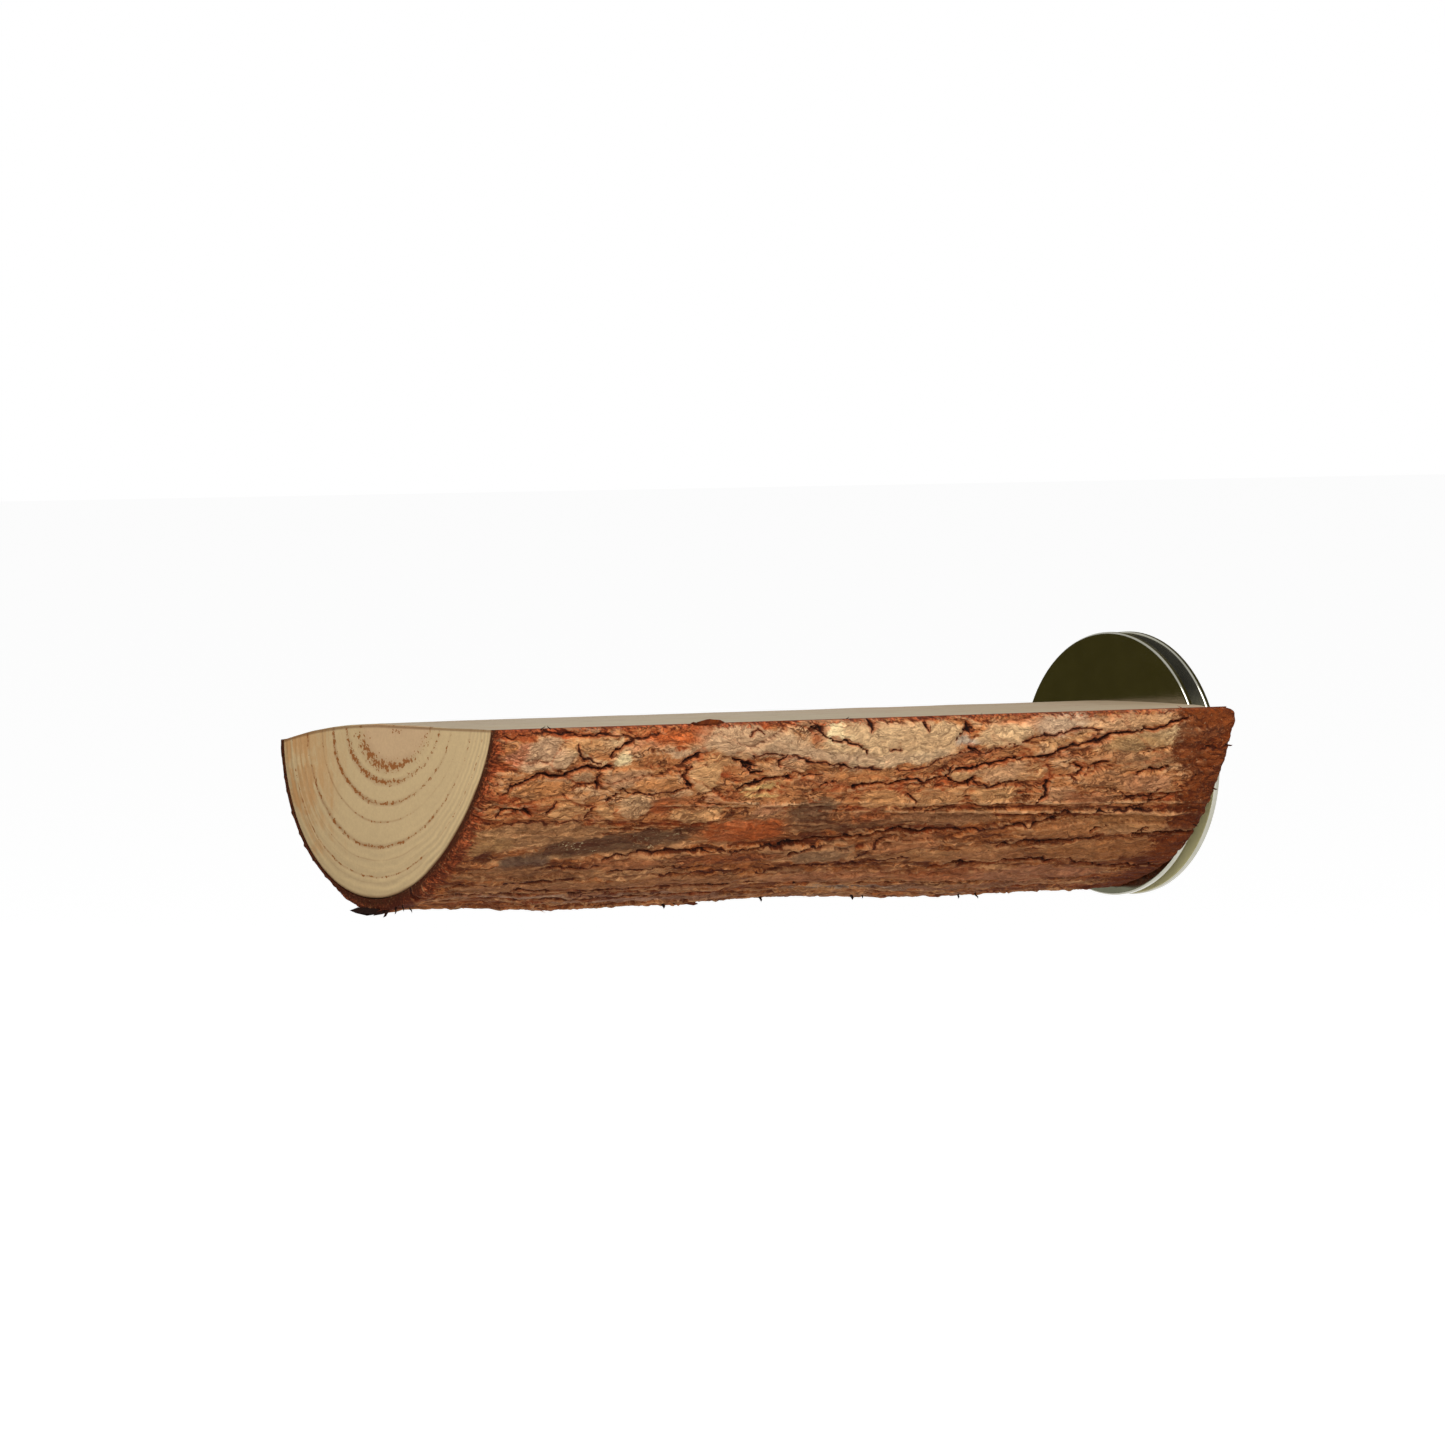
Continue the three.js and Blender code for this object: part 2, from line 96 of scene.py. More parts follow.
class Value:
    """One output of a node. What is done with it adds the nodes that do it."""

    def __init__(self, graph: "Graph", socket: bpy.types.NodeSocket) -> None:
        """Keeps the output and the graph that it is in."""
        self.graph, self.socket = graph, socket

    def math(self, operation: str, *terms: object, **settings: object) -> "Value":
        """Adds a Math node on this and the terms, of the vector kind where this is a vector or a colour."""
        kind = "ShaderNodeVectorMath" if self.socket.type in ("VECTOR", "RGBA") else "ShaderNodeMath"
        return self.graph.add(kind, dict(enumerate((self, *terms))), operation=operation, **settings)

    def __add__(self, other: object) -> "Value":
        """The sum of both."""
        return self.math("ADD", other)

    def __sub__(self, other: object) -> "Value":
        """This less the other."""
        return self.math("SUBTRACT", other)

    def __rsub__(self, other: float) -> "Value":
        """A number less this."""
        return self.graph.add("ShaderNodeMath", {0: other, 1: self}, operation="SUBTRACT")

    def __mul__(self, other: object) -> "Value":
        """The product of both."""
        return self.math("MULTIPLY", other)

    def __truediv__(self, other: object) -> "Value":
        """This divided by the other."""
        return self.math("DIVIDE", other)

    def __abs__(self) -> "Value":
        """Its size without its sign."""
        return self.math("ABSOLUTE")

    def least(self, other: object) -> "Value":
        """The smaller of both."""
        return self.math("MINIMUM", other)

    def most(self, other: object) -> "Value":
        """The larger of both."""
        return self.math("MAXIMUM", other)

    def spread(self, amount: float, base: object) -> "Value":
        """Spreads a share of 0 to 1 by an amount about a base."""
        return (self - 0.5) * amount + base

    def ramp(self, start: float, end: float, low: object = 0.0, high: object = 1.0) -> "Value":
        """Goes smoothly from low, where this is at start, to high at end, and holds there."""
        inputs = {"Value": self, "From Min": start, "From Max": end, "To Min": low, "To Max": high}
        return self.graph.add("ShaderNodeMapRange", inputs, interpolation_type="SMOOTHSTEP")

    def noise(
        self, scale: Triple | None, detail: float, rough: float = 0.5, colour: bool = False
    ) -> "Value":
        """Fractal noise with about one bump a unit.

        Args:
            scale: what this place is multiplied by, or None to take it as it is.
            detail: how many finer layers the noise has.
            rough: how strong they are.
            colour: whether it is three numbers in a colour, not one.

        Returns:
            The noise, from 0 to 1.
        """
        place = self * scale if scale else self
        inputs = {"Vector": place, "Scale": 1.0, "Detail": detail, "Roughness": rough}
        return self.graph.add("ShaderNodeTexNoise", inputs, "Color" if colour else "Fac")

    def parts(self) -> list["Value"]:
        """The three numbers of a vector."""
        split = self.graph.add("ShaderNodeSeparateXYZ", {0: self})
        return [split.also(axis) for axis in "XYZ"]

    def mix(self, low: object, high: object) -> "Value":
        """Takes this share of the way from one colour to another."""
        return self.graph.mixed(self, low, high)

    def shade(self, colour: object) -> "Value":
        """A colour times this number."""
        return self.graph.mixed(1.0, colour, self.graph.combine(self, self, self), "MULTIPLY")

    def also(self, output: str | int) -> "Value":
        """Another output of the same node."""
        return Value(self.graph, self.socket.node.outputs[output])


class Graph:
    """Adds linked nodes to a shader tree or a geometry tree."""

    def __init__(self, tree: Tree) -> None:
        """Keeps the tree to add to."""
        self.tree = tree

    def add(self, kind: str, inputs: dict | None = None, output: str | int = 0, **settings: object) -> Value:
        """Adds a node.

        Args:
            kind: the node's type.
            inputs: what to link or set, by the inputs' names or numbers.
            output: which output to give.
            settings: the node's own properties.

        Returns:
            That output.
        """
        node = self.tree.nodes.new(kind)
        for name, value in settings.items():
            setattr(node, name, value)
        for name, value in (inputs or {}).items():
            self.put(node.inputs[name], value)
        return Value(self, node.outputs[output])

    def put(self, socket: bpy.types.NodeSocket, value: object) -> None:
        """Links values into a socket, or sets them there.

        Args:
            socket: a node's input.
            value: an output, a list of them, or a constant.
        """
        for item in value if isinstance(value, list) else [value]:
            if isinstance(item, Value):
                self.tree.links.new(item.socket, socket)
            else:
                socket.default_value = item

    def feed(self, name: str, inputs: dict[str, object]) -> None:
        """Links or sets inputs of a node that the tree has already."""
        for label, value in inputs.items():
            self.put(self.tree.nodes[name].inputs[label], value)

    def given(self, name: str) -> Value:
        """One of the group's inputs."""
        return Value(self, self.tree.nodes["Group Input"].outputs[name])

    def carried(self, name: str, output: str = "Fac") -> Value:
        """What the points of a piece carry under a name, in a shader."""
        return self.add("ShaderNodeAttribute", {}, output, attribute_name=name)

    def named(self, name: str, kind: str = "FLOAT") -> Value:
        """What the points of a piece carry under a name, in a geometry tree."""
        return self.add("GeometryNodeInputNamedAttribute", {"Name": name}, "Attribute", data_type=kind)

    def combine(self, x: object, y: object, z: object = 0.0) -> Value:
        """Makes a vector of three numbers."""
        return self.add("ShaderNodeCombineXYZ", {0: x, 1: y, 2: z})

    def mixed(self, share: object, low: object, high: object, way: str = "MIX") -> Value:
        """Mixes two colours. A Mix node has them at inputs 6 and 7, and the mixed one at output 2."""
        inputs = {0: share, 6: low, 7: high}
        return self.add("ShaderNodeMix", inputs, 2, data_type="RGBA", blend_type=way, clamp_factor=True)

    def bump(self, height: Value, strength: float, depth: float) -> Value:
        """A normal that follows a height, with its depth in metres."""
        inputs = {"Strength": strength, "Distance": depth, "Height": height}
        return self.add("ShaderNodeBump", inputs, "Normal")

    def spot(self) -> Value:
        """The place on the object, in millimetres."""
        place = self.add("ShaderNodeTexCoord", {}, "Object")
        return self.add("ShaderNodeVectorMath", {0: place, "Scale": 1 / MM}, operation="SCALE")

    def normal(self) -> Value:
        """The direction that the surface faces."""
        return self.add("ShaderNodeNewGeometry", {}, "Normal")

    def seen(self) -> Value:
        """1 for what the camera, a reflection or glass sees, and 0 for the light that falls on things."""
        camera = self.add("ShaderNodeLightPath", {}, "Is Camera Ray")
        return camera.most(camera.also("Is Glossy Ray")).most(camera.also("Is Transmission Ray"))

    def finish(self, geometry: Value, material: Value) -> None:
        """Ends a geometry tree.

        Args:
            geometry: what is made real and put out.
            material: what all of it is made of.
        """
        real = self.add("GeometryNodeRealizeInstances", {"Geometry": geometry})
        dressed = self.add("GeometryNodeSetMaterial", {"Geometry": real, "Material": material})
        self.feed("Group Output", {"Geometry": dressed})


def new_group(name: str, kind: str, inputs: dict[str, float | str], outputs: dict[str, str]) -> Graph:
    """Makes an empty node group with its sockets.

    Args:
        name: what the group is called.
        kind: ShaderNodeTree or GeometryNodeTree.
        inputs: name to default number, or to the kind of socket where it has no default.
        outputs: name to the kind of socket.

    Returns:
        The group, ready for its nodes.
    """
    tree = bpy.data.node_groups.new(name, kind)
    for label, start in inputs.items():
        sort = start if isinstance(start, str) else "Int" if isinstance(start, int) else "Float"
        socket = tree.interface.new_socket(label, in_out="INPUT", socket_type=f"NodeSocket{sort}")
        if sort != start:
            socket.default_value = start
    for label, sort in outputs.items():
        tree.interface.new_socket(label, in_out="OUTPUT", socket_type=f"NodeSocket{sort}")
    tree.nodes.new("NodeGroupInput")
    tree.nodes.new("NodeGroupOutput")
    return Graph(tree)


def new_material(name: str) -> tuple[Material, Graph]:
    """Makes a material, which has its shader already.

    Args:
        name: what the material is called.

    Returns:
        The material and the graph of its nodes.
    """
    material = bpy.data.materials.new(name)
    material.use_nodes = True
    return material, Graph(material.node_tree)


def labelled(sizes: object) -> dict[str, float]:
    """The fields of a dataclass as a group's inputs, with names like Plate Length."""
    return {name.replace("_", " ").title(): value for name, value in asdict(sizes).items()}


class SharedEffects:
    """Shader groups that more than one finish uses."""

    def __init__(self) -> None:
        """Builds each group once."""
        self.fibres = self._fibres()
        self.scratches = self._scratches()

    @staticmethod
    def _fibres() -> Tree:
        """Fine fibres along X of a vector in millimetres.

        Returns:
            The group, which says how light they are and how high.
        """
        inputs = {"Vector": "Vector", "Width": 0.25, "Stretch": 14.0, "Contrast": 1.0}
        graph = new_group("Fibres", "ShaderNodeTree", inputs, {"Tone": "Float", "Height": "Float"})
        vector, width = graph.given("Vector"), graph.given("Width")
        sway = vector.noise((0.12, 0.3, 0.3), 2.0, colour=True)
        x, y, z = (sway * (0.0, 1.6, 1.6) + vector).parts()
        strands = graph.combine(x / width / graph.given("Stretch"), y / width, z / width)
        fine = strands.noise(None, 4.0, 0.62)
        tone = (fine - 0.5) * graph.given("Contrast") * 2.0
        graph.feed("Group Output", {"Tone": tone.math("ADD", 0.5, use_clamp=True), "Height": fine})
        return graph.tree

    @staticmethod
    def _scratches() -> Tree:
        """Fine scratches and smears of handled metal.

        Returns:
            The group, which says how rough they make it and how high they stand.
        """
        inputs = {"Vector": "Vector", "Smoothest": 0.2, "Roughest": 0.4}
        graph = new_group("Scratches", "ShaderNodeTree", inputs, {"Roughness": "Float", "Height": "Float"})
        smears = graph.given("Vector").noise((0.16, 0.16, 0.16), 4.0, 0.6)
        lines = graph.given("Vector").noise((0.35, 3.0, 9.0), 3.0, 0.7)
        smoothest, roughest = graph.given("Smoothest"), graph.given("Roughest")
        rough = (lines * 0.35 + smears * 0.75).ramp(0.35, 0.75, smoothest, roughest)
        graph.feed("Group Output", {"Roughness": rough, "Height": lines})
        return graph.tree


@dataclass
class LogSection:
    """The half log's section, measured from the pith at the crown of its sawn top. Sizes in metres."""

    radius_near: float = 23.2 * MM
    radius_far: float = 24.1 * MM
    pith_x: float = 1.2 * MM
    right_drop: float = 0.2 * MM
    left_drop: float = 2.9 * MM
    oval_share: float = 0.0633
    oval_angle: float = math.radians(104.3)
    lobe_share: float = 0.0257
    lobe_angle: float = math.radians(61.1)

    def __post_init__(self) -> None:
        """Takes the log's two ends and its crown from the frame."""
        low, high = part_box("half_log")
        self.front, self.back, self.top = low[1], high[1], high[2]
        self.length = self.back - self.front
        self.right_angle = -math.asin(self.right_drop / self.radius_near)
        self.left_angle = -math.pi + math.asin(self.left_drop / self.radius_near)
        self.girth = self.radius_near * (self.right_angle - self.left_angle)

    def points(self, angle: Array, share: Array, outside: Array | float) -> Array:
        """Points a distance outside the wood, whose section grows evenly from the free end to the cage end.

        Args:
            angle: radians from +X towards +Z, seen from the pith.
            share: of the length, from the free end.
            outside: metres from the wood, outwards.

        Returns:
            One row of x, y, z for each point.
        """
        oval = self.oval_share * np.cos(2 * angle - self.oval_angle)
        lobes = self.lobe_share * np.cos(3 * angle - self.lobe_angle)
        growth = 1 + share * (self.radius_far / self.radius_near - 1)
        radius = self.radius_near * (1 + oval + lobes) * growth + outside
        x = self.pith_x + radius * np.cos(angle)
        y = self.front + share * self.length
        return np.stack([x, y + 0 * x, self.top + radius * np.sin(angle)], -1)


def value_noise(x: Array, y: Array, seed: int) -> Array:
    """Smooth random bumps of one unit, from -1 to 1, which repeat every 64 units.

    Args:
        x, y: places, in units.
        seed: which random table to use.

    Returns:
        One number for each place.
    """
    size = 64
    table = np.random.default_rng(seed).random((size, size)) * 2 - 1
    column, row = np.floor(x).astype(int), np.floor(y).astype(int)
    fx, fy = x - column, y - row
    fx, fy = fx * fx * (3 - 2 * fx), fy * fy * (3 - 2 * fy)
    column, row, right, up = (number % size for number in (column, row, column + 1, row + 1))
    low = table[column, row] * (1 - fx) + table[right, row] * fx
    high = table[column, up] * (1 - fx) + table[right, up] * fx
    return low * (1 - fy) + high * fy


def wavered(base: Array, along: Array, around: Array, *waves: tuple[float, float, float, int]) -> Array:
    """Adds value noises to a number at each place.

    Args:
        base: the numbers.
        along, around: the places.
        waves: each noise's height, the length and the width of its bumps, and its seed.

    Returns:
        The wavy numbers.
    """
    for height, length, width, seed in waves:
        base = base + height * value_noise(along / length, around / width, seed)
    return base


def placed(name: str, data: bpy.types.ID) -> Piece:
    """Makes an object and links it to the scene.

    Args:
        name: the object's name.
        data: its mesh, lamp or camera.

    Returns:
        The object.
    """
    thing = bpy.data.objects.new(name, data)
    bpy.context.scene.collection.objects.link(thing)
    return thing


def tidy_mesh(mesh: bpy.types.Mesh, sharp: float) -> None:
    """Turns a mesh's faces outwards and smooths them.

    Args:
        mesh: the mesh.
        sharp: degrees past which edges stay sharp.
    """
    work = bmesh.new()
    work.from_mesh(mesh)
    bmesh.ops.recalc_face_normals(work, faces=work.faces)
    work.to_mesh(mesh)
    work.free()
    mesh.shade_smooth()
    mesh.set_sharp_from_angle(angle=math.radians(sharp))


def mesh_object(name: str, vertices: Array | list, faces: list, sharp: float = 40.0) -> Piece:
    """Makes an object of points and faces, smooth but for its sharp edges.

    Args:
        name: the piece's name.
        vertices: one row of x, y, z for each point.
        faces: the corners of each face.
        sharp: degrees between two faces past which their edge stays sharp.

    Returns:
        The object, linked to the scene.
    """
    mesh = bpy.data.meshes.new(name)
    mesh.from_pydata(np.asarray(vertices).tolist(), [], faces)
    mesh.validate()
    tidy_mesh(mesh, sharp)
    return placed(name, mesh)


def tube_faces(rings: int, count: int) -> list[tuple[int, ...]]:
    """The faces of a closed tube.

    Args:
        rings: how many rings of points it has.
        count: how many points a ring has.

    Returns:
        Its sides and the caps at its two ends.
    """
    faces = []
    for ring in range(rings - 1):
        for i in range(count):
            here, after = ring * count + i, ring * count + (i + 1) % count
            faces.append((here, after, after + count, here + count))
    return faces + [tuple(range(count)), tuple(range((rings - 1) * count, rings * count))]


def lathe(name: str, profile: Profile, sides: int, sharp: float = 40.0) -> Piece:
    """Turns a profile round the bolt's axis.

    Args:
        name: the object's name.
        profile: (radius, y) points. It closes on itself, or starts and ends on the axis.
        sides: how many steps there are in a turn.
        sharp: degrees past which edges stay sharp.

    Returns:
        The turned object.
    """
    turns = np.linspace(0, 2 * math.pi, sides, endpoint=False)
    vertices, rows = [], []
    for radius, y in profile:
        if radius == 0:
            rows.append([len(vertices)] * sides)
            vertices.append((0.0, y, 0.0))
        else:
            rows.append(list(range(len(vertices), len(vertices) + sides)))
            vertices.extend((radius * math.sin(t), y, radius * math.cos(t)) for t in turns)
    pairs = list(zip(rows, rows[1:]))
    if profile[0][0] != 0:
        pairs.append((rows[-1], rows[0]))
    faces = []
    for first, second in pairs:
        for i in range(sides):
            corners = [first[i], first[(i + 1) % sides], second[(i + 1) % sides], second[i]]
            faces.append(tuple(dict.fromkeys(corners)))
    return mesh_object(name, vertices, faces, sharp)


def baked(piece: Piece, sharp: float | None = None) -> Piece:
    """Replaces a piece's mesh by what its modifiers make of it, and removes them.

    Args:
        piece: the object.
        sharp: degrees past which edges stay sharp, or None to keep the shading.

    Returns:
        The same object.
    """
    mesh = bpy.data.meshes.new_from_object(piece.evaluated_get(bpy.context.evaluated_depsgraph_get()))
    mesh.name = piece.name
    piece.modifiers.clear()
    piece.data = mesh
    if sharp is not None:
        tidy_mesh(mesh, sharp)
    return piece


def drilled(piece: Piece, radius: float, ends: Pair, sides: int, sharp: float) -> None:
    """Cuts a round hole on the bolt's axis.

    Args:
        piece: what is cut.
        radius: of the hole, in metres.
        ends: the hole's two ends along Y, in metres.
        sides: how many sides the hole has.
        sharp: degrees past which the piece's edges stay sharp.
    """
    first, last = ends
    drill = lathe("drill", [(0, first), (radius, first), (radius, last), (0, last)], sides)
    cut = piece.modifiers.new("bore", "BOOLEAN")
    cut.operation, cut.object, cut.solver = "DIFFERENCE", drill, "EXACT"
    baked(piece, sharp)
    bpy.data.objects.remove(drill)


def run_tree(piece: Piece, tree: Tree, values: dict[str, object]) -> Piece:
    """Runs a geometry tree on a piece.

    Args:
        piece: the object.
        tree: the geometry tree.
        values: the tree's inputs, by name.

    Returns:
        The same object, with the result as its mesh.
    """
    modifier = piece.modifiers.new(tree.name, "NODES")
    modifier.node_group = tree
    for item in tree.interface.items_tree:
        if item.in_out == "INPUT" and item.name in values:
            modifier[item.identifier] = values[item.name]
    return baked(piece)


def joined(name: str, parts: list[Piece]) -> Piece:
    """Joins objects that share one material, and removes them.

    Args:
        name: the piece's name.
        parts: the objects.

    Returns:
        The one piece.
    """
    work = bmesh.new()
    for part in parts:
        work.from_mesh(part.data)
    mesh = bpy.data.meshes.new(name)
    work.to_mesh(mesh)
    work.free()
    mesh.materials.append(parts[0].data.materials[0])
    mesh.set_sharp_from_angle(angle=math.radians(50))
    for part in parts:
        bpy.data.objects.remove(part)
    return placed(name, mesh)


def seat(piece: Piece, body: str, slot: str, *nodes: str) -> None:
    """Seats a finished piece in the frame and reports it.

    Args:
        piece: the piece.
        body: what it rides on.
        slot: its material slot in the record. It is not used.
        nodes: the nodes that it stands for.
    """
    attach(piece, body)
    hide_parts(*nodes)
    LOG.info("%s: %d faces on %s", piece.name, len(piece.data.polygons), body)


@dataclass(frozen=True)
class Crack:
    """A crack in the bark: its (along, round) route and half width in millimetres, and its depth share."""

    route: tuple[Pair, ...]
    half_width: float = 0.13
    depth: float = 1.0


@dataclass(frozen=True)
class Plate:
    """A plate or a stain of the bark. Its lengths and height are in millimetres, its tilt in degrees."""

    along: float
    round: float
    half_length: float
    half_width: float
    colour: Colour
    strength: float = 0.8
    height: float = 0.0
    tilt: float = 0.0
    calm: float = 0.5


@dataclass(frozen=True)
class Sliver:
    """A loose fibre of bark: its foot, the way it points, its size in millimetres and how red it is."""

    along: float
    round: float
    heading: Triple
    length: float
    width: float = 0.22
    redness: float = 0.15


GREY_TAN = srgb(182, 148, 112)
PALE = srgb(198, 162, 118)
CREAM = srgb(226, 202, 152)
TAN = srgb(184, 134, 86)
OCHRE = srgb(180, 118, 68)
ORANGE = srgb(180, 88, 42)
RED_BROWN = srgb(150, 76, 38)
DARK = srgb(74, 58, 48)

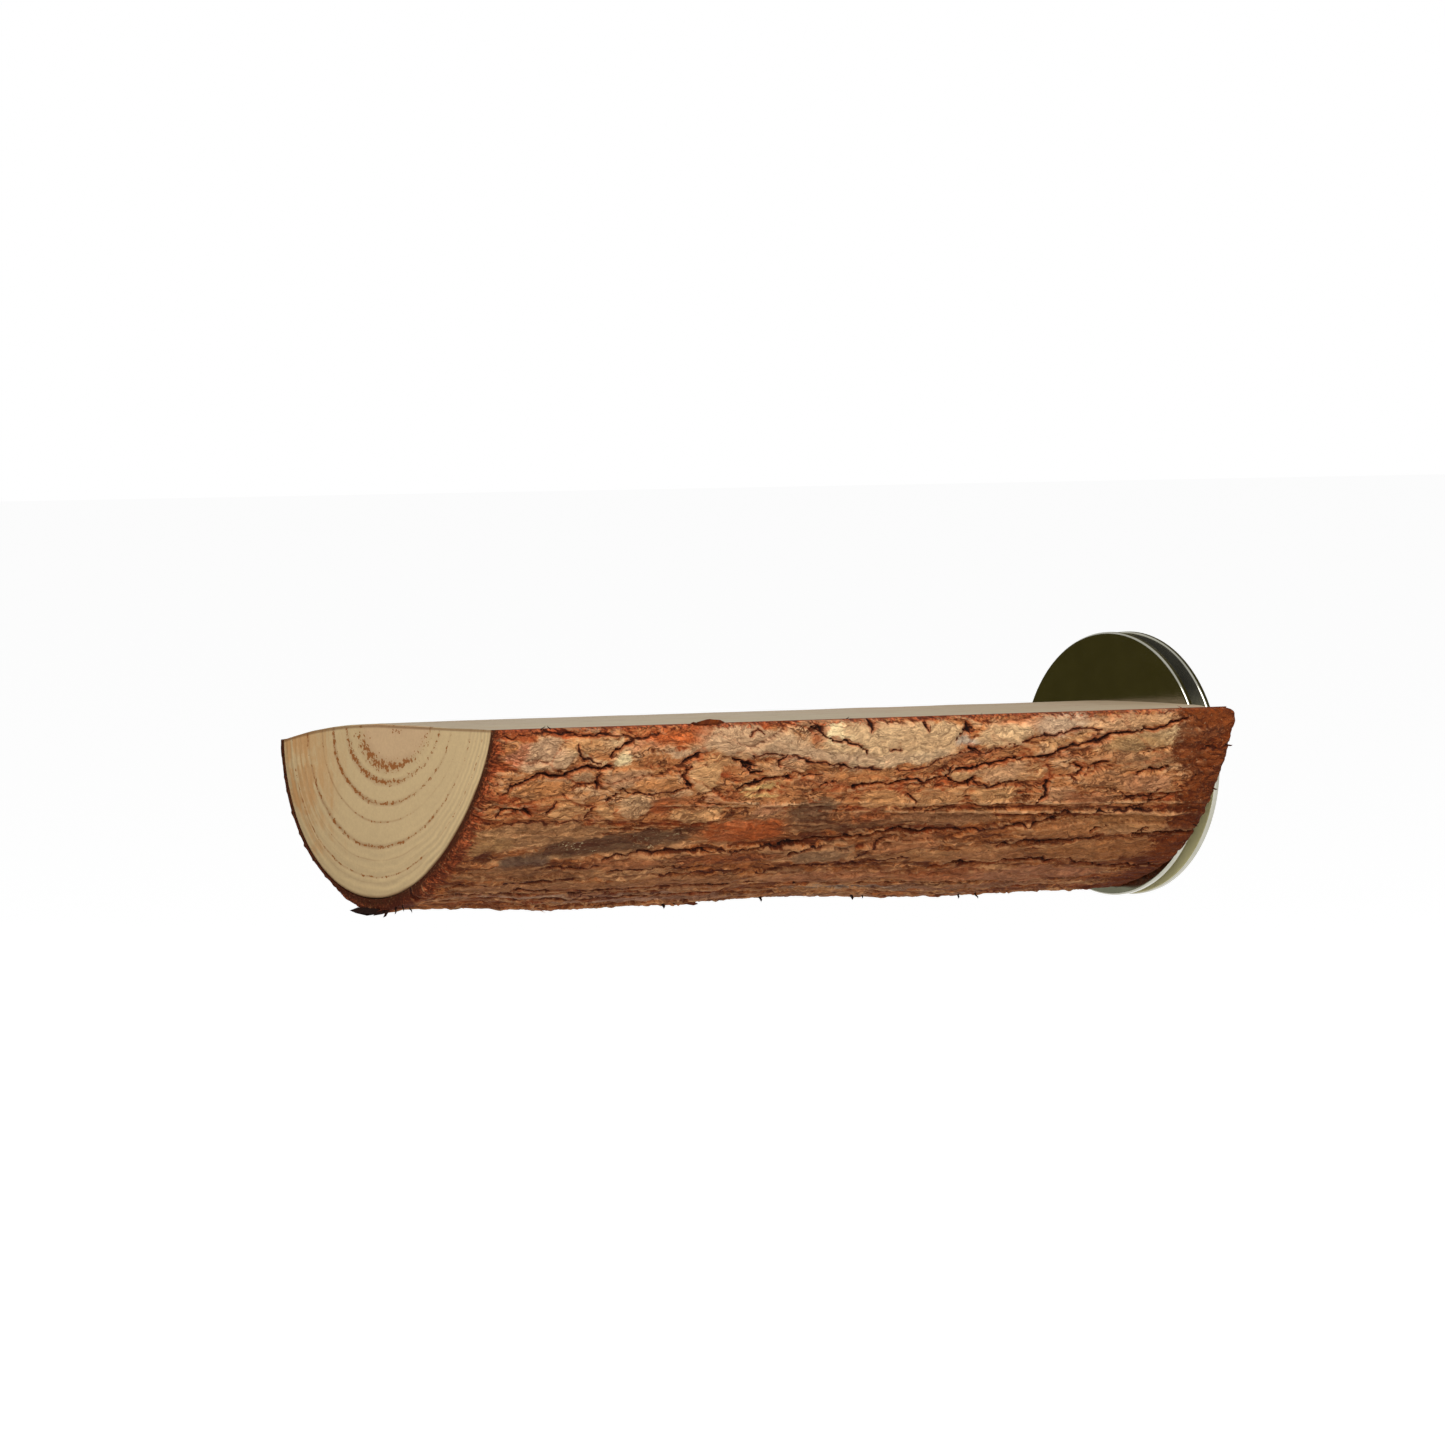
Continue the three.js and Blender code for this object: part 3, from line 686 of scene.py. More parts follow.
# Cracks, plates and slivers as they lie on the right side, from the free end and from the sawn top.
CRACKS: tuple[Crack, ...] = (
    Crack(((3.2, 8.9), (4.6, 7.6), (7, 6.8), (9.2, 6.2), (13, 6.3))),
    Crack(((13, 6.3), (14.3, 5.6), (15.6, 5.3)), 0.24),
    Crack(((15.6, 5.3), (19.6, 5.6), (21.5, 5.3)), 0.12),
    Crack(((19.1, 6.6), (19.6, 8.1)), 0.2),
    Crack(((22.3, 10), (24, 8.8)), 0.16),
    Crack(((24, 8.8), (28, 9.5), (34, 9.6), (36, 8.7), (34.8, 7.4)), 0.11, 0.8),
    Crack(((36.3, 8.5), (34.9, 7.3), (35.7, 6)), 0.2),
    Crack(((3.6, 12.4), (4.2, 11.4), (7.5, 11.8), (9, 11.6)), 0.2),
    Crack(((8.2, 11.4), (9.2, 12.2)), 0.3),
    Crack(((12.2, 12.1), (13, 10.5)), 0.18),
    Crack(((20, 13), (20.7, 11.4)), 0.15),
    Crack(((2, 14), (9, 13.8), (16, 14), (24, 13.9)), 0.11, 0.6),
    Crack(((31.4, 16.3), (32.3, 13.9)), 0.1, 0.5),
    Crack(((27.3, 21.4), (30.1, 20.4), (36, 20.2), (41, 20), (50.9, 20.3), (56.7, 19.7)), 0.13, 0.9),
    Crack(((56.7, 19.7), (59.9, 19.7), (62.6, 18.8), (65.7, 18.4), (68.2, 18.7), (70.1, 18.1)), 0.26),
    Crack(((70.1, 18.1), (73.7, 18.5), (75.8, 17.8), (79.5, 17.3), (82.8, 18), (85.3, 17.6)), 0.2),
    Crack(((85.3, 17.6), (88, 17.4), (91, 17.6), (94.2, 17.6), (96.7, 17.3)), 0.13, 0.8),
    Crack(((98.4, 17.1), (102.6, 17.1), (105, 16.7), (107.6, 15.9)), 0.17),
    Crack(((61.4, 21.7), (62, 20.8), (64, 20.3), (66.2, 19.9)), 0.16),
    Crack(((74.4, 22.6), (76.2, 20.9), (77.4, 19)), 0.13, 0.8),
    Crack(((40, 25), (50, 24.8), (56, 24.9)), 0.11, 0.7),
    Crack(
        ((58, 25.2), (61, 24.9), (63.4, 24.3), (65.3, 23.6), (68.2, 24.3), (75, 23.8), (84.5, 22.8)),
        0.12, 0.8,
    ),
    Crack(((16, 23), (22, 22.9), (27, 22.6)), 0.12, 0.8),
    Crack(((29, 23.9), (35, 23.6), (39, 23.4), (47, 23.2)), 0.14, 0.8),
    Crack(((4, 26.8), (8, 26.2), (16, 26), (25, 25.3)), 0.12, 0.8),
    Crack(((4, 29.2), (8, 29.4), (11, 30)), 0.25, 0.9),
    Crack(((0, 30.5), (14, 30.4), (25, 30.2), (38, 30.3), (45, 30.1)), 0.34),
    Crack(((5, 32.6), (16, 32.4), (30, 32.7)), 0.24, 0.9),
    Crack(((30, 31.8), (44, 32), (57, 31.7)), 0.26, 0.9),
    Crack(((16, 28.4), (28, 28.5), (33, 28.3), (40, 28.4), (52, 28.1), (60, 28.2)), 0.2, 0.9),
    Crack(
        ((67.5, 29.8), (69.6, 29.5), (73, 29.7), (77.7, 29.8), (84.5, 29.4), (95.6, 29.2), (100, 29)),
        0.2,
    ),
    Crack(((34.2, 5), (36.6, 4.2)), 0.36),
    Crack(((42.5, 5), (45.8, 5.6)), 0.16),
    Crack(((45.5, 5.5), (46.8, 5.6)), 0.36),
    Crack(((43.5, 5.2), (46.8, 6.5), (48.6, 6.8))),
    Crack(
        ((46, 4.2), (49.7, 4.4), (53.6, 4.8), (57, 5.4), (62, 6.2), (67, 6.7), (70, 7), (74.3, 7.2)),
        0.12, 0.8,
    ),
    Crack(((51.6, 5.9), (52.4, 4.7)), 0.22),
    Crack(((61.8, 5.9), (63.4, 6.4)), 0.26),
    Crack(
        ((74.3, 7.2), (79.3, 6.8), (80.6, 5.7), (85, 5), (90, 4.9), (93.4, 4.1), (96.2, 3.9)),
        0.11, 0.7,
    ),
    Crack(((96.5, 3.6), (98.5, 3), (101.2, 3.1), (103.4, 2.4), (106, 2), (110, 2.1)), 0.12, 0.8),
    Crack(((55.8, 0.6), (57, 1.2), (58.4, 1.9), (61.2, 2.7), (64, 3.2), (65.7, 3.5), (67.4, 4.7))),
    Crack(((57, 0.6), (57.7, 1.4)), 0.5),
    Crack(((66.7, 0), (66.8, 0.9)), 0.36),
    Crack(((45.4, 9.7), (47, 8.6), (49.3, 8.3), (51.4, 7.8), (54, 7.7)), 0.16),
    Crack(((56.5, 7.6), (59.7, 7.1)), 0.12, 0.8),
    Crack(((60.6, 9.3), (62.5, 8.8)), 0.15, 0.9),
    Crack(((66.7, 9.5), (71.2, 9.4), (73.5, 9.5), (75.7, 9.1), (78, 8.7)), 0.15),
    Crack(((78, 8.7), (79.7, 9.2), (82.2, 8.7), (83.3, 8.4)), 0.14),
    Crack(((84.3, 7.2), (83.4, 8.3), (84.2, 9.1)), 0.22),
    Crack(((84.2, 9.1), (86.6, 9.7), (88.6, 9.2), (90.6, 10.1), (93.3, 10.1), (97.5, 9.7)), 0.14, 0.9),
    Crack(((88.3, 9.6), (88.8, 8.9)), 0.24),
    Crack(((85, 7.5), (87.7, 7.2), (90.2, 6.7), (92, 6.8), (94.3, 6.2), (97.2, 6.1), (99.5, 5.9)), 0.15),
    Crack(
        ((99.5, 5.9), (101.9, 5.6), (103.4, 5.1), (105.2, 4.7), (107, 4.4), (108.4, 4), (110.3, 3.6)),
        0.21,
    ),
    Crack(((109.6, 3.8), (111.3, 3.3)), 0.44),
    Crack(
        ((110.3, 3.6), (112.2, 3), (114.3, 2.9), (116.8, 2.7), (120.1, 2.6), (123.2, 2), (127.2, 1.1)),
        0.14,
    ),
    Crack(((119.2, 8.8), (120.1, 8.3), (122.8, 8.2), (125, 8.2)), 0.14),
    Crack(((130.9, 10.3), (131.3, 9.2)), 0.14),
    Crack(
        ((104, 15.2), (109.3, 15), (113, 15.1), (116.7, 14.9), (119.6, 14.7), (125.3, 15.2)),
        0.13, 0.9,
    ),
    Crack(((119.7, 13), (121.6, 12.6), (123.9, 12.4), (124.8, 11.5)), 0.14, 0.8),
    Crack(((121.5, 14.3), (124.8, 13.2), (127.5, 12.7)), 0.14, 0.8),
    Crack(((100, 20.8), (105.5, 20.2), (110.6, 20.3), (115.5, 19.8), (118.6, 18.9)), 0.16),
    Crack(((116, 18.3), (118, 17.4)), 0.2),
    Crack(((124.4, 19.3), (127.5, 18.9), (130, 19.2), (135.8, 18.8)), 0.18),
    Crack(((124.4, 19.2), (124.8, 18.5), (125.9, 18)), 0.16),
    Crack(((90, 25.3), (93, 24.8), (97, 24.4), (103.7, 24.4), (109, 24.1), (115.8, 24.4)), 0.16),
    Crack(((93.6, 24.7), (95.4, 24.5)), 0.4),
    Crack(((115.8, 24.4), (118.6, 25.1), (122, 25.8), (130, 26.2), (136, 25.8)), 0.16),
    Crack(((103.4, 9.7), (103.4, 10.8), (104.4, 12.2), (103, 13.2)), 0.2),
    Crack(((78.4, 11.5), (79.9, 12.7), (80.5, 13.7)), 0.15),
    Crack(((82, 14), (85.3, 13.8), (86.4, 13.2), (89.3, 12.8), (90.6, 13.3), (98.6, 13)), 0.12, 0.8),
    Crack(((107.8, 7.5), (109, 8.2), (108, 8.8)), 0.2),
    Crack(((110.5, 7.2), (112.5, 7.1), (114, 6.9))),
    Crack(((109.7, 9), (110.5, 8)), 0.16),
    Crack(((82.8, 3.2), (84, 2.4), (85.4, 1.6))),
    Crack(((84.8, 1.2), (85.2, 1.9)), 0.24),
    Crack(((77, 1), (77.3, 1.6)), 0.2),
    Crack(((86, 4), (87.8, 4.6)), 0.12),
    Crack(((1, 0.9), (8.5, 0.5), (14, 0.8), (22, 1.1), (23.5, 1.7), (28.5, 1.2)), 0.13, 0.8),
    Crack(((14, 2.3), (15.2, 3.6), (17, 4.4), (19, 4.7)), 0.15, 0.8),
    Crack(((20.6, 3.9), (21.4, 2.9), (23.4, 2.2)), 0.2),
    Crack(((130.5, 5.6), (136, 5.1)), 0.16, 0.8),
    Crack(((45, 1.7), (46.4, 1), (47.6, 1.7)), 0.11, 0.7),
    Crack(((70.6, 4.3), (73.2, 4.5)), 0.13, 0.8),
)
PLATES: tuple[Plate, ...] = (
    Plate(8.6, 3.3, 5.8, 2.3, GREY_TAN, 0.85, 0.3),
    Plate(3.4, 3.2, 1.6, 2, srgb(190, 122, 88), 0.6),
    Plate(16.2, 2.2, 3.8, 1.1, TAN, 0.7, 0.2),
    Plate(21, 1.7, 1.7, 0.8, PALE, 0.7, 0.2),
    Plate(17.2, 4, 2.4, 0.34, CREAM, 0.9, 0.1, 14, 0.8),
    Plate(22.9, 4, 1.7, 1.2, CREAM, 0.95, 0.1, 0, 0.9),
    Plate(26.6, 2.6, 3.6, 0.8, srgb(192, 126, 86), 0.6, 0.1),
    Plate(31, 1.2, 6.5, 1.3, ORANGE, 0.75, -0.1, 0, 0.2),
    Plate(33, 3.5, 3.6, 0.8, GREY_TAN, 0.75, 0.15),
    Plate(9, 8.2, 5.4, 1.5, OCHRE, 0.6, 0.3, -4, 0.4),
    Plate(16.2, 6.8, 3, 0.95, srgb(152, 118, 84), 0.7, 0.25),
    Plate(24.8, 7.3, 4.2, 1.4, srgb(166, 124, 88), 0.75, 0.25, 0, 0.6),
    Plate(30.2, 7.6, 3, 1.6, OCHRE, 0.7, 0.15),
    Plate(13.5, 9.7, 6.5, 1.1, OCHRE, 0.6, 0.2, 0, 0.4),
    Plate(15.6, 12.3, 3.2, 1.3, TAN, 0.65, 0.25, 0, 0.4),
    Plate(22.2, 12.2, 2.2, 1.3, TAN, 0.7, 0.25),
    Plate(27.8, 11.5, 3.2, 2, srgb(184, 142, 100), 0.75, 0.3),
    Plate(33.2, 11.7, 2.8, 1.7, RED_BROWN, 0.9, -0.1, 0, 0.8),
    Plate(13, 16, 12.5, 2, srgb(150, 108, 70), 0.85, 0.1, 0, 0.9),
    Plate(4, 17.6, 4, 2.2, srgb(158, 118, 74), 0.75, 0.05, 0, 0.85),
    Plate(27, 18.4, 14.5, 1.9, srgb(66, 50, 38), 0.95, -0.25, -6, 0.7),
    Plate(12.4, 21.9, 4.6, 1.7, srgb(84, 72, 60), 0.9, -0.1, -3, 0.8),
    Plate(5.6, 20.2, 1.3, 1.1, srgb(70, 30, 18), 0.8, -0.15, 60, 0.2),
    Plate(1.6, 35.4, 3.4, 3, srgb(78, 34, 18), 0.95, 0, 0, 0.2),
    Plate(15, 24.2, 14, 1.4, srgb(142, 98, 62), 0.75, 0.1, 0, 0.8),
    Plate(31, 22.2, 9, 1.3, srgb(154, 92, 54), 0.75, 0.1, 0, 0.8),
    Plate(18, 27.6, 14, 1.8, srgb(158, 108, 70), 0.75, 0.15, 0, 0.85),
    Plate(45.5, 2.4, 10.5, 2.1, GREY_TAN, 0.9, 0.35, 3, 0.9),
    Plate(62.5, 4.8, 11, 1.2, srgb(176, 144, 110), 0.9, 0.25, 4, 0.9),
    Plate(67.5, 2.3, 9.5, 2.2, PALE, 0.9, 0.4, 0, 0.85),
    Plate(60.2, 1.5, 2.7, 0.9, CREAM, 0.85, 0.2, 22, 0.8),
    Plate(76.5, 3.2, 7.5, 2.6, PALE, 0.9, 0.35, 0, 0.9),
    Plate(75.5, 5.7, 9.5, 0.9, srgb(200, 166, 126), 0.85, 0.3, -4, 0.9),
    Plate(85.6, 3.2, 2.3, 0.8, srgb(176, 160, 138), 0.8, 0.1, 0, 0.8),
    Plate(91.5, 2.7, 4.6, 1.9, PALE, 0.9, 0.35, -4, 0.9),
    Plate(94.5, 0.9, 4.6, 0.7, srgb(186, 118, 76), 0.7, 0.05),
    Plate(103.5, 1.5, 7, 1.4, srgb(188, 156, 124), 0.9, 0.3, -3, 0.9),
    Plate(114, 1.7, 5, 1.3, srgb(184, 138, 96), 0.85, 0.3, -2, 0.8),
    Plate(120.5, 1.2, 4.5, 0.8, srgb(188, 142, 98), 0.75, 0.2, -7, 0.7),
    Plate(104.5, 3.6, 4.5, 0.8, TAN, 0.75, 0.1, -10),
    Plate(38.6, 7.3, 3, 1.9, srgb(196, 148, 98), 0.8, 0.3, 0, 0.7),
    Plate(42.3, 5, 4, 0.8, TAN, 0.7, 0.15),
    Plate(47.6, 6.4, 1.9, 0.8, TAN, 0.7, 0.15),
    Plate(53.4, 6.1, 4.2, 1.1, srgb(184, 134, 92), 0.75, 0.25),
    Plate(49.6, 8.8, 3.6, 0.5, srgb(224, 186, 116), 0.85, 0.1, -3, 0.4),
    Plate(50.2, 10.3, 2.8, 0.42, srgb(216, 176, 108), 0.8, 0.05, 9, 0.4),
    Plate(41.5, 10.9, 6, 1.3, srgb(168, 92, 50), 0.55, -0.05, 0, 0.1),
    Plate(40.4, 13.4, 4.2, 1.3, TAN, 0.75, 0.25, 0, 0.6),
    Plate(52.8, 12.8, 3.2, 1.2, srgb(170, 116, 80), 0.7, 0.2),
    Plate(60.5, 8.4, 6, 1.1, srgb(172, 104, 62), 0.6, 0.05, 0, 0.3),
    Plate(68.5, 8, 6, 0.9, OCHRE, 0.65, 0.1, 0, 0.7),
    Plate(50, 16.8, 8.6, 2.3, srgb(170, 82, 38), 0.95, 0, 0, 0.85),
    Plate(50.5, 21.7, 11, 1.2, srgb(158, 86, 46), 0.75, 0.1, 0, 0.6),
    Plate(61.5, 13.6, 4.6, 2.3, srgb(98, 72, 50), 0.8, 0.05, 0, 0.4),
    Plate(72.5, 11.8, 4, 1.4, srgb(194, 136, 84), 0.75, 0.2, 0, 0.7),
    Plate(72.5, 14.8, 6, 0.9, srgb(164, 88, 46), 0.6),
    Plate(68, 16.4, 9, 1.1, srgb(116, 82, 54), 0.75, 0.05, 0, 0.6),
    Plate(67.6, 21.7, 6, 1.4, srgb(126, 94, 66), 0.8, 0.2, 0, 0.9),
    Plate(78.4, 21.2, 4, 1.5, srgb(166, 112, 70), 0.65, 0.15),
    Plate(45, 27.6, 14, 2, srgb(160, 108, 70), 0.75, 0.15, 0, 0.8),
    Plate(72, 27, 13, 1.8, srgb(164, 106, 70), 0.75, 0.15, 0, 0.8),
    Plate(28, 31.5, 26, 0.8, srgb(178, 140, 112), 0.8, 0, 0, 0.8),
    Plate(45, 34.4, 22, 1.3, srgb(170, 128, 100), 0.75, 0, 0, 0.8),
    Plate(84, 31.3, 17, 0.9, srgb(128, 118, 104), 0.7, -0.1),
    Plate(87.5, 5.9, 6, 0.8, srgb(156, 84, 46), 0.75, -0.15, -8, 0.3),
    Plate(104, 6, 6.5, 0.7, srgb(160, 86, 46), 0.7, -0.15, -10, 0.2),
    Plate(86.9, 8.4, 2.6, 0.9, srgb(196, 148, 98), 0.8, 0.25, -6, 0.6),
    Plate(94, 8.2, 4.4, 1.4, srgb(180, 136, 96), 0.8, 0.3, -4, 0.8),
    Plate(100.3, 8.4, 2.4, 1.3, TAN, 0.6, 0.15),
    Plate(82.5, 11.8, 6, 1.5, srgb(184, 130, 82), 0.75, 0.25, -2, 0.7),
    Plate(93.5, 11.6, 4.2, 1.3, srgb(190, 138, 88), 0.75, 0.25),
    Plate(86, 15.4, 11, 1.2, srgb(142, 98, 64), 0.75, 0.1, 0, 0.8),
    Plate(81.5, 19.9, 7.5, 1.4, srgb(172, 108, 66), 0.8, 0.1, 0, 0.8),
    Plate(86.5, 22.6, 6.5, 1.1, srgb(150, 98, 58), 0.75, 0.1, 0, 0.85),
    Plate(98, 27.2, 14, 1.4, srgb(164, 94, 56), 0.75, 0.1, 0, 0.8),
    Plate(104, 31, 18, 1.1, srgb(152, 110, 82), 0.6, 0, 0, 0.8),
    Plate(105.4, 11.8, 3.6, 1.4, srgb(186, 132, 90), 0.75, 0.3, 0, 0.7),
    Plate(110.5, 17.8, 10, 1.8, srgb(164, 106, 62), 0.75, 0.15, -2, 0.85),
    Plate(119.5, 4, 7.6, 1.2, srgb(158, 122, 78), 0.9, 0.35, -6, 0.8),
    Plate(125.6, 3.1, 3, 0.95, srgb(198, 168, 122), 0.9, 0.1, -6, 0.8),
    Plate(111.8, 4.6, 1.4, 0.6, srgb(212, 164, 112), 0.8, 0.1, -25, 0.3),
    Plate(113.5, 6.4, 5, 0.8, srgb(172, 118, 76), 0.6, 0.1, -6, 0.3),
    Plate(122.5, 6.8, 7.5, 1.2, srgb(146, 104, 68), 0.8, 0.2, -3, 0.8),
    Plate(114, 9.6, 4.4, 1.4, srgb(168, 114, 72), 0.7, 0.15, 0, 0.4),
    Plate(122.5, 10.4, 5, 1.5, srgb(168, 112, 74), 0.75, 0.25, 0, 0.7),
    Plate(112, 12.8, 5, 1.1, srgb(158, 100, 64), 0.7, 0.15, 0, 0.6),
    Plate(122, 16.8, 8, 1.5, srgb(148, 98, 56), 0.85, 0.15, 0, 0.9),
    Plate(121, 22.2, 13, 2.2, srgb(152, 98, 56), 0.9, 0.15, 0, 0.95),
    Plate(113, 27.4, 14, 1.9, srgb(152, 96, 66), 0.85, 0.1, 0, 0.9),
    Plate(99, 22.6, 8, 1.5, srgb(158, 102, 62), 0.8, 0.15, 0, 0.9),
)
SLIVERS: tuple[Sliver, ...] = (
    Sliver(0.3, 38.3, (-0.9, -0.42, 0.02), 4.6, 1.5, 0),
    Sliver(0.2, 37.7, (-0.75, -0.5, -0.1), 3.2, 1.1, 0),
    Sliver(0.3, 36.8, (-0.6, -0.5, -0.3), 2.2, 0.7),
    Sliver(0.3, 35.8, (-0.2, -0.5, -0.6), 1.7, 0.5),
    Sliver(0.4, 34.4, (0.2, -0.5, -0.8), 1.5, 0.3),
    Sliver(0.5, 33, (0.4, -0.3, -0.8), 1.4, 0.25),
    Sliver(4, 35.6, (0.1, 0.3, -0.9), 1.3, 0.25),
    Sliver(50.7, 36.4, (0.1, 0.1, -1), 1.4, 0.6),
    Sliver(52, 36.2, (0.3, 0.5, -0.5), 1.2, 0.25),
    Sliver(68.6, 36.4, (0, 0.2, -1), 1.2, 0.45),
    Sliver(86, 36.4, (-0.1, 0.2, -1), 1.2, 0.55),
    Sliver(87.5, 36.2, (0.2, -0.3, -0.9), 1.1, 0.3),
    Sliver(106.2, 36.4, (0.1, -0.2, -1), 1.1, 0.4),
    Sliver(109.2, 36.2, (0.1, 0.4, -0.8), 1.1, 0.3),
    Sliver(54.2, 35.8, (0.2, 0.97, -0.14), 2.6, 0.9, 0.9),
    Sliver(135.4, 5.3, (0.5, 0.8, 0.1), 1.2, 0.4, 0.8),
    Sliver(135.4, 11.6, (0.6, 0.7, -0.1), 1.1, 0.4, 0.8),
    Sliver(135.2, 17.8, (0.5, 0.8, -0.2), 1.1, 0.25),
    Sliver(8, 0.1, (0.2, 0.6, 0.5), 1.1, 0.2),
    Sliver(9.2, 0, (0.1, -0.5, 0.6), 1, 0.18),
    Sliver(36.2, 0, (-0.03, 0.99, 0.03), 5.2, 1.5, 0.9),
    Sliver(37.4, 0, (-0.02, 0.96, 0.14), 3.2, 1.1, 1.2),
    Sliver(35.6, 0, (-0.02, -0.9, 0.1), 1.6, 0.6, 0.6),
    Sliver(63, 0, (0.1, 0.6, 0.5), 1, 0.2),
)


@dataclass(frozen=True)
class Relief:
    """The bark's relief, whose sizes are the inputs of its tree. Plates and flakes are in millimetres."""

    relief: float = 1.0
    crack_depth: float = 0.6 * MM
    plate_length: float = 23.0
    plate_width: float = 6.2
    flake_length: float = 7.5
    flake_width: float = 2.2
    splinter_density: float = 60000.0
    seed: int = 11

    @staticmethod
    def layer(graph: Graph, bent: Value, length: Value, width: Value) -> tuple[Value, Value, Value]:
        """Adds a layer of plates, which are longer low on the bark.

        Args:
            graph: the geometry tree.
            bent: the place on the bark, bent a little.
            length, width: of a plate.

        Returns:
            Their random tone, the slope across them and the distance to their edge.
        """
        size = graph.combine(length * graph.named("edge_mm").ramp(11.0, 17.0, 1.0, 1.8), width, 1.0)
        spot = bent / size
        kind = "ShaderNodeTexVoronoi"
        inputs = {"Vector": spot, "Scale": 1.0}
        here = graph.add(kind, inputs, "Position", voronoi_dimensions="2D", feature="F1")
        there = graph.add(kind, inputs, "Position", voronoi_dimensions="2D", feature="F2")
        near, far = (cell.also("Distance").math("POWER", 2.0) for cell in (here, there))
        steep = ((here - there) / size).math("LENGTH").also("Value")
        return here.also("Color").parts()[0], (spot - here).parts()[1], (far - near) * 0.5 / steep

    def tree(self) -> Tree:
        """Geometry Nodes that raise plates and flakes, sink the cracks and set splinters on the edges.

        Returns:
            The tree.
        """
        inputs = {"Geometry": "Geometry", **labelled(self), "Bark Finish": "Material"}
        graph = new_group("Bark Relief", "GeometryNodeTree", inputs, {"Geometry": "Geometry"})
        given, named = graph.given, graph.named
        place = graph.combine(named("along_mm") + given("Seed") * 17.3, named("round_mm"))
        slow = place.noise((0.06, 0.13, 1.0), 3.0, 0.55, colour=True)
        quick = place.noise((0.5, 0.8, 1.0), 3.0, 0.6, colour=True)
        bent = (slow - HALF) * (15.0, 7.0, 0.0) + place
        bent = (quick - HALF) * (2.6, 1.4, 0.0) + bent
        length, width = given("Plate Length"), given("Plate Width")
        plate_tone, plate_slope, plate_edge = self.layer(graph, bent, length, width)
        length, width = given("Flake Length"), given("Flake Width")
        flake_tone, flake_slope, flake_edge = self.layer(graph, bent, length, width)
        chip_tone, chip_slope, _ = self.layer(graph, bent, length * 0.34, width * 0.4)
        busy, free = named("busy"), named("free")
        torn = place.noise((0.13, 0.33, 1.0), 2.0).ramp(0.4, 0.56) * busy
        fine = (flake_tone - 0.5) * 0.34 + flake_slope * -0.22
        fine = fine + (chip_tone - 0.5) * 0.12 + chip_slope * -0.08
        height = (plate_tone - 0.5) * 0.34 + plate_slope * -0.2 + fine * (busy * 0.8 + 0.2)
        height = height + plate_edge.ramp(0.05, 0.4, 1.0, 0.0) * busy * -0.2
        height = height + flake_edge.ramp(0.05, 0.3, 1.0, 0.0) * torn * -0.2
        height = height + (bent.noise((0.3, 1.7, 1.0), 3.0, 0.62) - 0.5) * 0.5
        calm_end = named("along_mm").ramp(128.0, 133.0, 1.0, 0.35)
        rise = named("plate_height") + height * calm_end * given("Relief")
        rise = (rise - named("crack").ramp(0.55, 1.0) * (given("Crack Depth") / MM)) * free
        smooth = graph.add("GeometryNodeBlurAttribute", {0: rise, "Iterations": 6}, data_type="FLOAT")
        notes = {
            "rise_mm": rise,
            # How far a place stands above or below its surroundings; the bark's finish paints highlight and
            # shade by it.
            "hollow_mm": rise - smooth,
            "tone": plate_tone * 0.45 + (flake_tone * 0.4 + chip_tone * 0.15),
            "gap_mm": plate_edge.least(flake_edge + (1.0 - torn)),
        }
        skin = given("Geometry")
        for name, value in notes.items():
            inputs = {"Geometry": skin, "Name": name, "Value": value}
            skin = graph.add("GeometryNodeStoreNamedAttribute", inputs, data_type="FLOAT", domain="POINT")
        inputs = {0: named("outward", "FLOAT_VECTOR"), "Scale": named("rise_mm") * MM}
        lift = graph.add("ShaderNodeVectorMath", inputs, operation="SCALE")
        skin = graph.add("GeometryNodeSetPosition", {"Geometry": skin, "Offset": lift})
        splinters = self.splinters(graph, skin)
        graph.finish(graph.add("GeometryNodeJoinGeometry", {0: [skin, splinters]}), given("Bark Finish"))
        return graph.tree

    @staticmethod
    def splinters(graph: Graph, skin: Value) -> Value:
        """Stands small splinters on the skin along the bark's sawn edges and its underside.

        Args:
            graph: the geometry tree.
            skin: the bark.

        Returns:
            The splinters.
        """
        named = graph.named
        edge = named("edge_mm").ramp(0.2, 1.2, 0.8, 0.0)
        near_end = named("along_mm").ramp(0.3, 1.6, 1.0, 0.0)
        under = named("round_mm").math("COMPARE", 36.0, 3.5) * 0.25
        rough_places = edge.most(near_end).most(under) * named("free").math("GREATER_THAN", 0.09)
        density = rough_places * graph.given("Splinter Density")
        inputs = {"Mesh": skin, "Seed": graph.given("Seed"), "Density": density}
        points = graph.add("GeometryNodeDistributePointsOnFaces", inputs, "Points")
        inputs = {"Vertices": 5, "Radius Top": 0.015 * MM, "Radius Bottom": 0.07 * MM, "Depth": 1.0 * MM}
        cone = graph.add("GeometryNodeMeshCone", inputs, "Mesh", fill_type="NGON")
        inputs = {"Min": (-0.35, -0.8, -0.25), "Max": (0.35, 1.0, 0.2)}
        stray = graph.add("FunctionNodeRandomValue", inputs, "Value", data_type="FLOAT_VECTOR")
        aim = graph.add("FunctionNodeAlignRotationToVector", {"Vector": stray}, "Rotation", axis="Z")
        least, most = 2, 3  # a Random Value node's inputs for its least and greatest number
        size = graph.add("FunctionNodeRandomValue", {least: 0.35, most: 1.0}, 1, data_type="FLOAT")
        inputs = {"Points": points, "Instance": cone, "Rotation": aim, "Scale": size}
        return graph.add("GeometryNodeInstanceOnPoints", inputs, "Instances")


